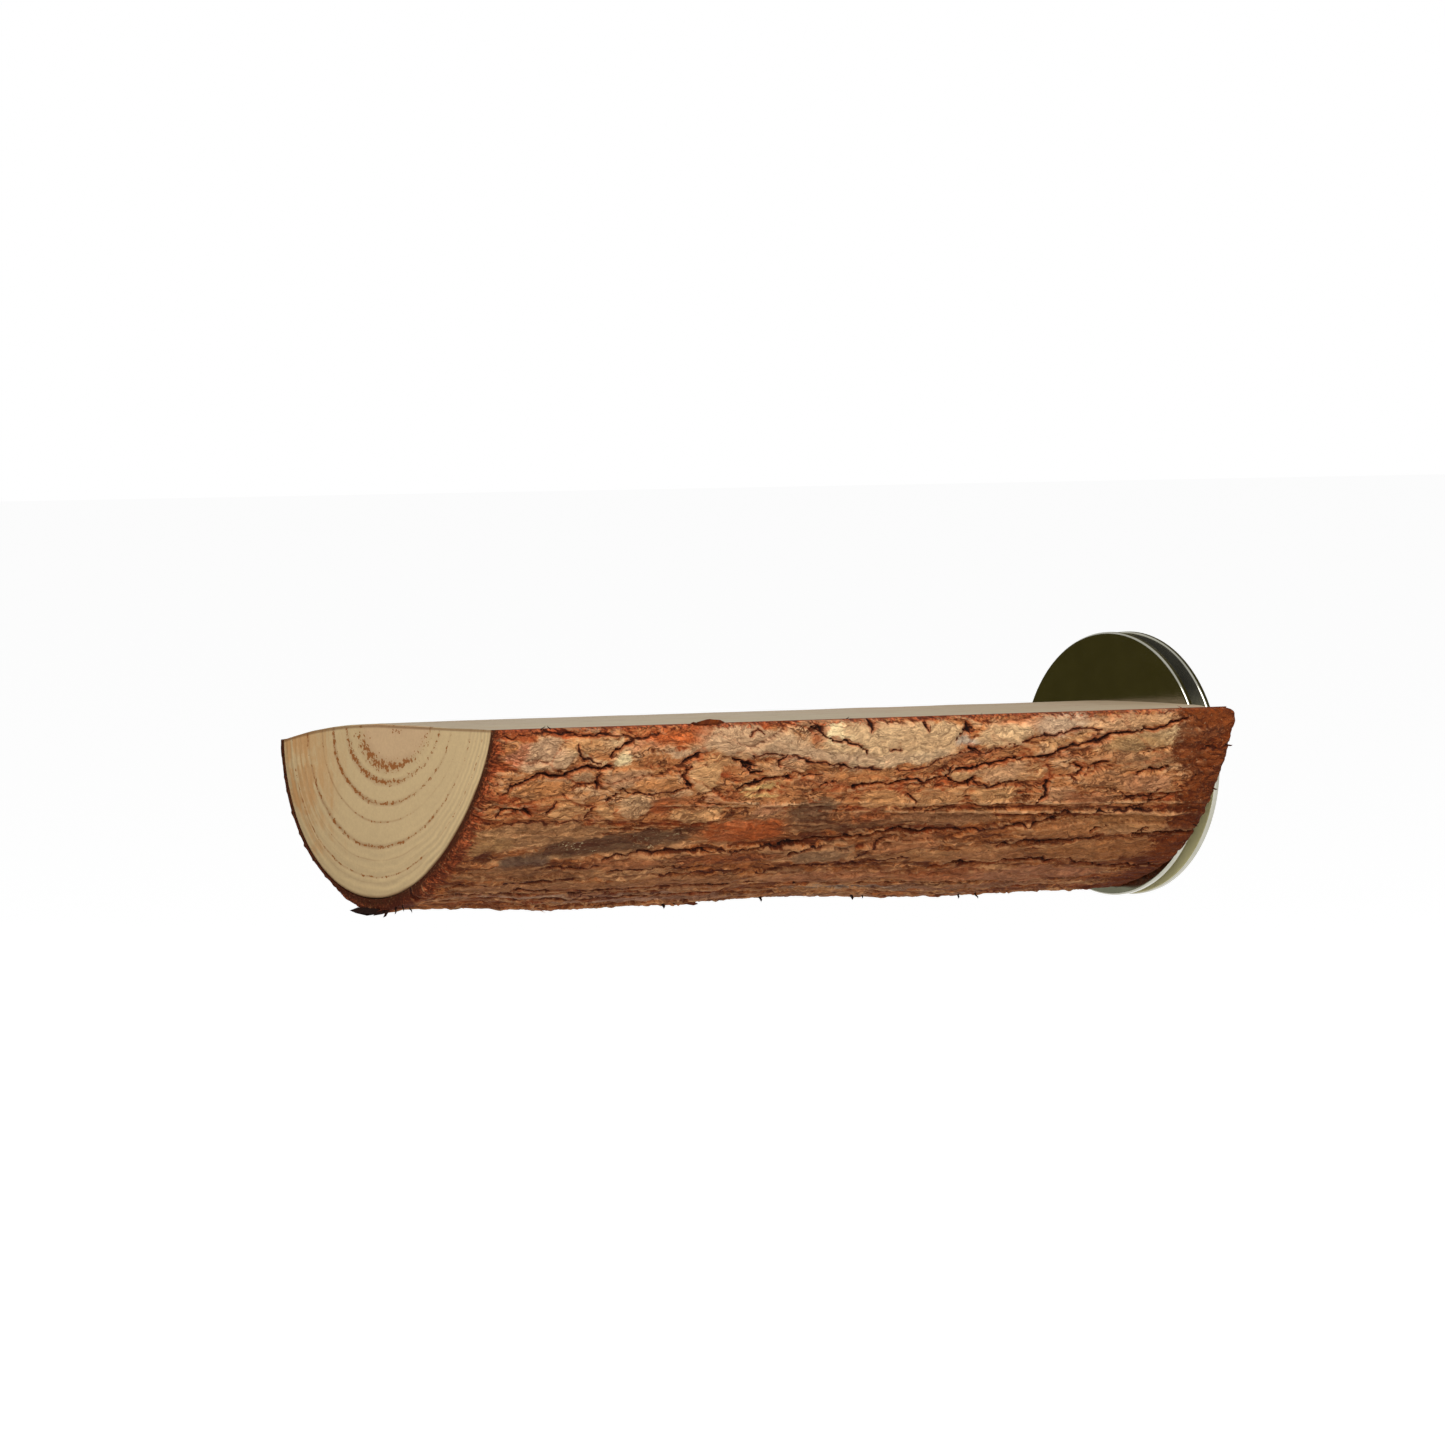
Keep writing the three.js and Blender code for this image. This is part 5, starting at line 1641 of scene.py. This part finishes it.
@dataclass(frozen=True)
class BarkFinish:
    """Bark: red-brown in its depths, tan and grey where the weather reached it, darker on its underside."""

    # deepest: a near black, painted shade in the middles of the cracks; the slivers with no redness take it
    # too.
    deepest: Colour = srgb(24, 10, 6)
    deep: Colour = srgb(72, 28, 12)
    upper: tuple[Colour, ...] = (srgb(158, 76, 38), srgb(180, 116, 68), srgb(200, 154, 110))
    lower: tuple[Colour, ...] = (srgb(124, 56, 24), srgb(174, 103, 54), srgb(214, 154, 102))
    rim_dark: Colour = srgb(70, 24, 10)
    rim_light: Colour = srgb(178, 84, 44)
    rim_line: Colour = srgb(66, 34, 14)
    far_dark: Colour = srgb(80, 28, 4)
    far_light: Colour = srgb(126, 58, 18)
    roughness: float = 0.84
    shine: float = 0.08
    bump_depth: float = 0.34 * MM

    def build(self, effects: SharedEffects) -> Material:
        """Makes the material from the numbers that the bark's points carry.

        Args:
            effects: the shared shader groups.

        Returns:
            The material.
        """
        material, graph = new_material("Bark")
        carried = graph.carried
        edge, crack, busy, hollow = (carried(name) for name in ("edge_mm", "crack", "busy", "hollow_mm"))
        place = graph.combine(carried("along_mm"), carried("round_mm"), carried("free") * 4.0)
        sway = place.noise((0.2, 0.36, 0.2), 3.0, 0.6, colour=True)
        bent = (sway - HALF) * (6.0, 4.0, 0.0) + place
        inputs = {"Vector": bent, "Width": 0.42, "Stretch": 5.0, "Contrast": 1.5}
        fibres = graph.add("ShaderNodeGroup", inputs, "Tone", node_tree=effects.fibres)
        blotch = place.noise((0.16, 0.42, 1.0), 4.0, 0.6)
        grains = bent.noise((0.8, 1.9, 1.0), 4.0, 0.7)
        specks = place.noise((1.8, 2.8, 1.0), 3.0, 0.7)
        lower = edge.ramp(11.0, 17.0)
        strands = bent.noise((0.045, 0.42, 0.3), 4.0, 0.6)
        hairs = abs(bent.noise((0.26, 0.95, 1.0), 4.0, 0.62) - 0.5) * (lower * -0.7 + 1.0)

        dark, middle, light = (lower.mix(high, low) for high, low in zip(self.upper, self.lower))
        level = blotch.spread(1.5, carried("tone").spread(0.6, 0.5))
        level = carried("rise_mm") * 0.45 + grains.spread(0.9, level)
        colour = level.ramp(0.1, 0.5).mix(dark, middle)
        colour = level.ramp(0.55, 1.0).mix(colour, light)
        colour = (strands.ramp(0.52, 0.62) * (lower * 0.85)).mix(colour, light)
        tint = blotch.spread(0.7, grains.spread(0.8, fibres.spread(0.3, 1.02)))
        cover = grains.spread(1.7, carried("plate_mask")).ramp(0.22, 0.66) * 0.82
        colour = cover.mix(colour, tint.shade(carried("plate_colour", "Color")))
        margin = specks.spread(0.6, carried("gap_mm")).ramp(0.02, 0.4, 1.0, 0.0)
        colour = (margin * (busy * 0.7 + 0.1)).mix(colour, dark)
        colour = (specks.spread(0.6, crack).ramp(0.15, 0.6) * 0.7).mix(colour, dark)
        colour = grains.spread(0.7, specks.spread(0.45, fibres * 0.5 + 0.77)).shade(colour)
        colour = self._rims(graph, colour, (edge, grains, specks, lower))

        hair = hairs.ramp(0.008, 0.045, 1.0, 0.0) * blotch.ramp(0.36, 0.56, 0.3, 0.9) * (busy * 0.7 + 0.3)
        colour = hair.mix(colour, self.deep)
        seams = abs(strands - 0.47).ramp(0.01, 0.04, 1.0, 0.0) * (lower * blotch.ramp(0.36, 0.5, 0.1, 0.75))
        seams = seams * busy.ramp(0.1, 0.5, 0.25, 1.0)
        colour = seams.mix(colour, self.deep)
        colour = (specks.ramp(0.4, 0.3) * 0.6).mix(colour, self.deep)
        colour = (specks.ramp(0.61, 0.72) * 0.45).mix(colour, PALE)
        sunken = carried("plate_height").ramp(-0.12, -0.22) * blotch.ramp(0.5, 0.64)
        crumbs = grains.spread(0.8, specks).ramp(0.56, 0.66) * sunken
        colour = (crumbs * 0.8).mix(colour, CREAM)
        # Painted highlight on ridges that stand above their surroundings, and painted shade in hollows.
        colour = (hollow.ramp(0.04, 0.18) * 0.35).mix(colour, light)
        colour = (hollow.ramp(-0.05, -0.26) * 0.8).mix(colour, self.deep)
        # Along the cracks a dark red-brown, partly the inner bark's colour and partly painted shade, and in
        # their middles a near black that is painted shade.
        beside = specks.spread(1.6, abs(carried("crack_side")))
        split = beside.ramp(0.5, 1.25, 1.0, 0.0) * crack.ramp(0.25, 0.5)
        colour = (split * 0.88).mix(colour, self.deep)
        inmost = beside.ramp(0.1, 0.7, 1.0, 0.0) * crack.ramp(0.5, 0.8)
        relief = fibres.also("Height") * 0.8 + (specks * 0.7 + grains)
        relief = relief + (hair + seams) * -0.35 + split * -0.9
        looks = {
            "Base Color": inmost.mix(colour, self.deepest),
            "Roughness": fibres * -0.16 + (self.roughness + 0.08),
            "Specular IOR Level": self.shine,
            "Normal": graph.bump(relief, 1.0, self.bump_depth),
        }
        graph.feed("Principled BSDF", looks)
        return material

    def _rims(self, graph: Graph, colour: Value, masks: tuple[Value, ...]) -> Value:
        """Lays the torn red fibres of the sawn edges and the smooth brown of the cage end over the bark.

        Args:
            graph: the material's nodes.
            colour: the bark's colour.
            masks: how far down a place is, the grains, the specks and how much it is of the underside.

        Returns:
            The colour with its rims.
        """
        edge, grains, specks, lower = masks
        along = graph.carried("along_mm")
        shaded = specks - edge.ramp(24.0, 34.0, 0.0, 0.12)
        torn = shaded.ramp(0.4, 0.64).mix(self.rim_dark, self.rim_light)
        ragged = grains - 0.5
        near_rim = (along - (ragged * 6.5 + (lower * 0.7 + 1.2))).ramp(-0.7, 0.9, 1.0, 0.0)
        top_rim = (edge - (ragged * 4.2 + 0.4)).ramp(-0.3, 0.4, 1.0, 0.0)
        colour = (near_rim.most(top_rim) * 0.92).mix(colour, torn)
        far = ragged * 9.0 + 129.2 - edge.ramp(9.5, 6.0, 0.0, 4.6)
        smooth = grains.ramp(0.35, 0.65).mix(self.far_dark, self.far_light)
        colour = ((along - far).ramp(-1.6, 1.6) * 0.9).mix(colour, smooth)
        line = graph.carried("free").ramp(0.3, 0.8, 0.95, 0.0) * along.ramp(0.1, 0.45, 1.0, 0.0)
        return line.mix(colour, self.rim_line)


@dataclass(frozen=True)
class Ring:
    """A growth ring: its depth share, half width share, darkness and how porous it is."""

    depth: float
    half_width: float
    dark: float
    porous: float


@dataclass(frozen=True)
class WoodFinish:
    """Pale sawn wood with growth rings round the pith, pores in them and a tan stain on the left."""

    base: Colour = srgb(177, 152, 111)
    heart: Colour = srgb(176, 146, 109)
    stain: Colour = srgb(168, 118, 66)
    ring_colour: Colour = srgb(112, 62, 20)
    pore_colour: Colour = srgb(124, 64, 0)
    rim_colour: Colour = srgb(96, 60, 28)
    top_light: Colour = srgb(150, 140, 119)
    top_dark: Colour = srgb(117, 105, 84)
    top_dirt: Colour = srgb(132, 106, 76)
    pith_shift: float = 3.35  # millimetres from the section's centre to the right
    shine: float = 0.3
    bump_depth: float = 0.08 * MM
    rings: tuple[Ring, ...] = (
        Ring(0.034, 0.03, 0.7, 1.0),
        Ring(0.242, 0.062, 0.55, 1.0),
        Ring(0.333, 0.03, 0.7, 1.0),
        Ring(0.456, 0.021, 0.85, 0.95),
        Ring(0.562, 0.01, 0.6, 0.5),
        Ring(0.706, 0.019, 0.85, 0.9),
        Ring(0.784, 0.006, 0.5, 0.2),
        Ring(0.835, 0.004, 0.22, 0.1),
        Ring(0.88, 0.01, 0.7, 0.8),
        Ring(0.915, 0.005, 0.32, 0.1),
    )

    def build(self, section: LogSection, effects: SharedEffects) -> Material:
        """Makes the material, whose rings follow the log's section from end to end.

        Args:
            section: the log's section.
            effects: the shared shader groups.

        Returns:
            The material.
        """
        material, graph = new_material("Sawn Wood")
        x, y, z = graph.spot().parts()
        across, down = x - section.pith_x / MM, z - section.top / MM
        depth = self._ring_depth(graph, section, (across, down, y))
        flow = graph.combine(y, across, down)
        inputs = {"Vector": flow, "Width": 0.35, "Stretch": 16.0, "Contrast": 0.9}
        fibres = graph.add("ShaderNodeGroup", inputs, "Tone", node_tree=effects.fibres)
        heading = graph.combine(across, down).math("NORMALIZE")
        left_low = heading.math("DOT_PRODUCT", (-0.3, -0.95, 0.0)).also("Value")
        patchy = (left_low * 0.38 + flow.noise((0.02, 0.2, 0.2), 2.0, 0.6)).ramp(0.5, 1.0, 0.15, 1.0)
        line = patchy * self._ring_ramp(graph, depth, "dark") * 0.75
        crowd = (patchy * 0.55 + 0.45) * self._ring_ramp(graph, depth, "porous")
        pores = flow.noise((0.3, 1.3, 1.3), 3.0, 0.75)
        dashes = (pores - (crowd * -0.27 + 0.67)).ramp(0.0, 0.03) * crowd.ramp(0.02, 0.12)

        streaks = flow.noise((0.02, 0.9, 0.1), 3.0, 0.6)
        left = streaks.spread(14.0, across).ramp(-7.0, -20.0)
        patches = flow.noise((0.02, 0.14, 0.2), 4.0, 0.6)
        veins = graph.combine(depth * 22.0, left_low * 1.6).noise(None, 4.0, 0.6)
        left = left * (patches * 0.5 + veins * 0.5).ramp(0.44, 0.55, 0.02, 0.75)
        colour = left.mix(depth.ramp(0.2, 0.26).mix(self.heart, self.base), self.stain)
        fine_rings = (patches * 9.0 + depth * 118.0).math("SINE")
        rim = depth.ramp(0.55, 0.95) * patchy.ramp(0.0, 1.0, 0.13, 0.05)
        clouds = flow.noise((0.02, 0.13, 0.13), 3.0, 0.6)
        shade = fine_rings * rim + (clouds * 0.18 + (fibres * 0.16 + 0.84))
        colour = (line * 0.9).mix(shade.shade(colour), self.ring_colour)
        colour = (dashes * 0.88).mix(colour, self.pore_colour)
        colour = depth.ramp(0.975, 1.0, 0.0, 0.85).mix(colour, self.rim_colour)

        up = graph.normal().parts()[2]
        leftward = across.least(0.0) * (MM / section.radius_near)
        below_top = down * -1.0 - leftward * leftward * (section.left_drop / MM)
        sawn = below_top.ramp(0.42, 0.72, 0.65, 0.0) * up.ramp(0.35, 0.8, 1.0, 0.0)
        colour = sawn.mix(colour, self.rim_colour)
        blotches_and_cage_end_tint = flow.noise((0.05, 0.25, 0.25), 4.0, 0.65).ramp(0.4, 0.75, 0.0, 0.4)
        # Browner and a little darker towards the cage end.
        blotches_and_cage_end_tint = blotches_and_cage_end_tint + y.ramp(-90.0, -5.0, 0.0, 0.3)
        grey = blotches_and_cage_end_tint.mix(fibres.mix(self.top_dark, self.top_light), self.top_dirt)
        looks = {
            "Base Color": (up.ramp(0.6, 0.9) * 0.82).mix(colour, grey),
            "Roughness": fibres * -0.1 + 0.75,
            "Specular IOR Level": self.shine,
            "Normal": graph.bump(fibres.also("Height") + line.most(dashes) * -0.5, 0.5, self.bump_depth),
        }
        graph.feed("Principled BSDF", looks)
        return material

    def _ring_depth(self, graph: Graph, section: LogSection, place: tuple[Value, ...]) -> Value:
        """How deep a point lies from the pith to the bark.

        The rings are centred on the pith, to the right of the section's centre, and even out outwards.

        Args:
            graph: the material's nodes.
            section: the log's section.
            place: millimetres to the right of the section's centre, above it and along the log.

        Returns:
            0 at the pith and 1 at the bark.
        """
        across, down, y = place
        taper = (section.radius_far - section.radius_near) / section.length
        grown = (y - section.front / MM) * taper + section.radius_near / MM

        def share_of(sideways: Value) -> tuple[Value, Value]:
            """The share at a place on this place's level.

            Args:
                sideways: millimetres to the right of the section's centre.

            Returns:
                The share of the way to the bark, and how level the direction to the place is.
            """
            angle = down.math("ARCTAN2", sideways)
            oval = (angle * 2.0 + -section.oval_angle).math("COSINE") * section.oval_share
            form = (angle * 3.0 + -section.lobe_angle).math("COSINE") * section.lobe_share + oval
            distance = (sideways * sideways + down * down).math("SQRT").most(0.01)
            return distance / ((form + 1.0) * grown), sideways / distance

        share, _ = share_of(across)
        inward = graph.add("ShaderNodeMath", {0: 1.0, 1: share}, operation="SUBTRACT", use_clamp=True)
        share, level = share_of(inward * -self.pith_shift + across)
        squeeze = (1.0 - share) * -0.5 * (level * level)
        ease = graph.combine(across * 0.14, down * 0.14, y * 0.012)
        return ease.noise(None, 2.0).spread(0.03, squeeze * share + share)

    def _ring_ramp(self, graph: Graph, depth: Value, quality: str) -> Value:
        """A colour ramp with a peak at each ring.

        Args:
            graph: the material's nodes.
            depth: the share from the pith to the bark.
            quality: the field of a ring that says how high its peak is.

        Returns:
            The ramp's grey.
        """
        ramp = graph.add("ShaderNodeValToRGB", {0: depth}, "Color")
        stops = ramp.socket.node.color_ramp.elements
        stops.remove(stops[1])
        stops[0].position, stops[0].color = 0.0, (0, 0, 0, 1)
        for ring in self.rings:
            for offset, height in ((-1.0, 0.0), (0.0, getattr(ring, quality)), (1.0, 0.0)):
                stop = stops.new(min(max(ring.depth + offset * ring.half_width, 0.001), 0.999))
                stop.color = (height, height, height, 1)
        return ramp


@dataclass(frozen=True)
class SteelFinish:
    """Polished washer steel with faint smears."""

    name: str = "Washer Steel"
    base: Colour = srgb(166, 164, 152)
    dull: Colour = srgb(157, 155, 142)
    smoothest: float = 0.08
    roughest: float = 0.14
    film: Colour | None = None

    def build(self, effects: SharedEffects) -> Material:
        """Makes the material, with painted light low on the front face where it has it: a pale, diffuse
        coat.

        Args:
            effects: the shared shader groups.

        Returns:
            The material.
        """
        material, graph = new_material(self.name)
        spot = graph.spot()
        inputs = {"Vector": spot, "Smoothest": self.smoothest, "Roughest": self.roughest}
        wear = graph.add("ShaderNodeGroup", inputs, "Roughness", node_tree=effects.scratches)
        colour = spot.noise((0.3, 0.3, 0.3), 4.0, 0.6).ramp(0.35, 0.65).mix(self.base, self.dull)
        metallic = 1.0
        if self.film is not None:
            # Painted light: a pale, diffuse coat, strongest low on the front face, lightens it there.
            film = spot.parts()[2].ramp(12.0, 3.0, 0.1, 0.85) * graph.normal().parts()[1].ramp(-0.8, -0.95)
            colour, metallic = film.mix(colour, self.film), 1.0 - film
        looks = {
            "Base Color": colour,
            "Metallic": metallic,
            "Roughness": wear,
            "Normal": graph.bump(wear.also("Height"), 0.12, 0.02 * MM),
        }
        graph.feed("Principled BSDF", looks)
        return material


@dataclass
class Studio:
    """The floor, the lamps and the camera at the photograph's viewing angle. Sizes in metres."""

    azimuth: float = math.radians(49.5)
    elevation: float = math.radians(2.2)
    distance: float = 2.088
    lens: float = 360.0
    washer_right: float = 56.0 * MM  # of the inner washer's centre from the picture's centre
    washer_up: float = -5.92 * MM
    floor_drop: float = 0.115
    floor_reach: float = 6.0
    card_glow: Colour = (0.085, 0.072, 0.02, 1.0)
    low_glow: Colour = (0.4, 0.41, 0.33, 1.0)

    def build(self) -> None:
        """Makes everything that isn't part of the perch."""
        self._camera()
        self._world()
        self._floor()
        self._lamp("key", place=(0.9, -0.45, 0.9), size=0.7, power=15.5)
        self._lamp("fill", place=(0.9, -0.9, 0.3), size=1.0, power=9.0)
        self._lamp("back", place=(-0.5, 1.1, 0.8), size=0.8, power=6.0)
        beside = (0.76, 0.65, 0.0)
        self._card("side_card", (-0.082, -0.07, 0.014), beside, (0.2, 0.052), self.card_glow)
        self._card("low_card", (-0.082, -0.07, -0.031), beside, (0.2, 0.038), self.low_glow)
        self._card("rim_card", (-0.03, 0.1, 0.08), (0.0, -1.0, 0.0), (0.26, 0.18), self.card_glow)
        bpy.context.scene.view_settings.view_transform = "Standard"

    def _camera(self) -> None:
        """Sets the camera so that the inner washer's centre lies where the photograph has it."""
        sin_az, cos_az = math.sin(self.azimuth), math.cos(self.azimuth)
        sin_el, cos_el = math.sin(self.elevation), math.cos(self.elevation)
        right = Vector((cos_az, sin_az, 0))
        back = Vector((sin_az * cos_el, -cos_az * cos_el, sin_el))
        up = back.cross(right)
        washer = Vector((0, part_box("inner_washer")[0][1], 0))
        data = bpy.data.cameras.new("camera")
        data.lens, data.sensor_width, data.clip_end = self.lens, 36.0, 50.0
        camera = placed("camera", data)
        camera.location = washer - right * self.washer_right - up * self.washer_up + back * self.distance
        camera.rotation_euler = back.to_track_quat("Z", "Y").to_euler()
        bpy.context.scene.camera = camera

    @staticmethod
    def _world() -> None:
        """A pale even surround, white where the camera or a reflection sees it."""
        world = bpy.data.worlds.new("surround")
        bpy.context.scene.world = world
        world.use_nodes = True
        graph = Graph(world.node_tree)
        strength = graph.seen().ramp(0.0, 1.0, 0.36, 1.0)
        graph.feed("Background", {"Color": (1, 1, 1, 1), "Strength": strength})

    def _floor(self) -> None:
        """A wide white floor below the perch, which keeps its shadow."""
        z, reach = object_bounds()[0][2] - self.floor_drop, self.floor_reach
        corners = [(-reach, -reach, z), (reach, -reach, z), (reach, reach, z), (-reach, reach, z)]
        floor = mesh_object("floor", corners, [(0, 1, 2, 3)])
        material, graph = new_material("Floor")
        looks = {
            "Base Color": srgb(205, 205, 205),
            "Roughness": 0.9,
            "Specular IOR Level": 0.0,
            "Emission Color": (1, 1, 1, 1),
            "Emission Strength": graph.seen() * 0.75,
        }
        graph.feed("Principled BSDF", looks)
        floor.data.materials.append(material)
        floor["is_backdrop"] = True

    @staticmethod
    def _lamp(name: str, place: Triple, size: float, power: float) -> None:
        """A soft square lamp that faces the perch.

        Args:
            name: what it is called.
            place: its middle, in metres.
            size: of its sides, in metres.
            power: in watts.
        """
        data = bpy.data.lights.new(name, "AREA")
        data.size, data.energy = size, power
        lamp = placed(name, data)
        lamp.location = place
        lamp.rotation_euler = Vector(place).to_track_quat("Z", "Y").to_euler()

    @staticmethod
    def _card(name: str, place: Triple, facing: Triple, size: Pair, glow: Colour) -> None:
        """A card beside the perch, seen only in the washers' faces.

        Args:
            name: what it is called.
            place: its middle, in metres.
            facing: the direction that it faces.
            size: width and height, in metres.
            glow: how light it is.
        """
        normal = Vector(facing).normalized()
        side = normal.cross(Vector((0, 0, 1))).normalized()
        rise = side.cross(normal)
        corners = [
            tuple(Vector(place) + side * sx * size[0] / 2 + rise * sz * size[1] / 2)
            for sx, sz in ((-1, -1), (1, -1), (1, 1), (-1, 1))
        ]
        card = mesh_object(name, corners, [(0, 1, 2, 3)])
        material, graph = new_material("Card")
        graph.tree.nodes.remove(graph.tree.nodes["Principled BSDF"])
        light = graph.add("ShaderNodeEmission", {"Color": glow})
        clear = graph.add("ShaderNodeBsdfTransparent")
        reflected = graph.add("ShaderNodeLightPath", {}, "Is Glossy Ray")
        looks = graph.add("ShaderNodeMixShader", {0: reflected, 1: clear, 2: light})
        graph.feed("Material Output", {"Surface": looks})
        card.data.materials.append(material)
        card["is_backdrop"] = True


def main() -> None:
    """Builds the perch's pieces in order and reports each."""
    logging.basicConfig(level=logging.INFO, format="%(name)s %(message)s")
    effects = SharedEffects()
    section = LogSection()
    steel = {
        WasherPlace.INNER: SteelFinish().build(effects),
        # The outer washer's front face gets painted light low down.
        WasherPlace.OUTER: SteelFinish("Filmed Washer Steel", film=srgb(198, 188, 136)).build(effects),
    }
    bright = SteelFinish(
        "Bright Zinc", base=srgb(190, 192, 192), dull=srgb(158, 160, 162), smoothest=0.22, roughest=0.42
    )
    zinc = bright.build(effects)
    Studio().build()
    seat(WoodCore(section).build(WoodFinish().build(section, effects)), "perch", "wood", "half_log")
    seat(Bark(section).build(BarkFinish().build(effects)), "perch", "bark", "bark")
    seat(HangerBolt().build(section, zinc), "perch", "zinc", "hanger_bolt")
    for place in WasherPlace:
        seat(Washer(place).build(steel[place]), place.value, "steel", place.value)
    seat(WingNut().build(zinc), "wing_nut", "zinc", "wing_nut")


if __name__ == "__main__":
    main()
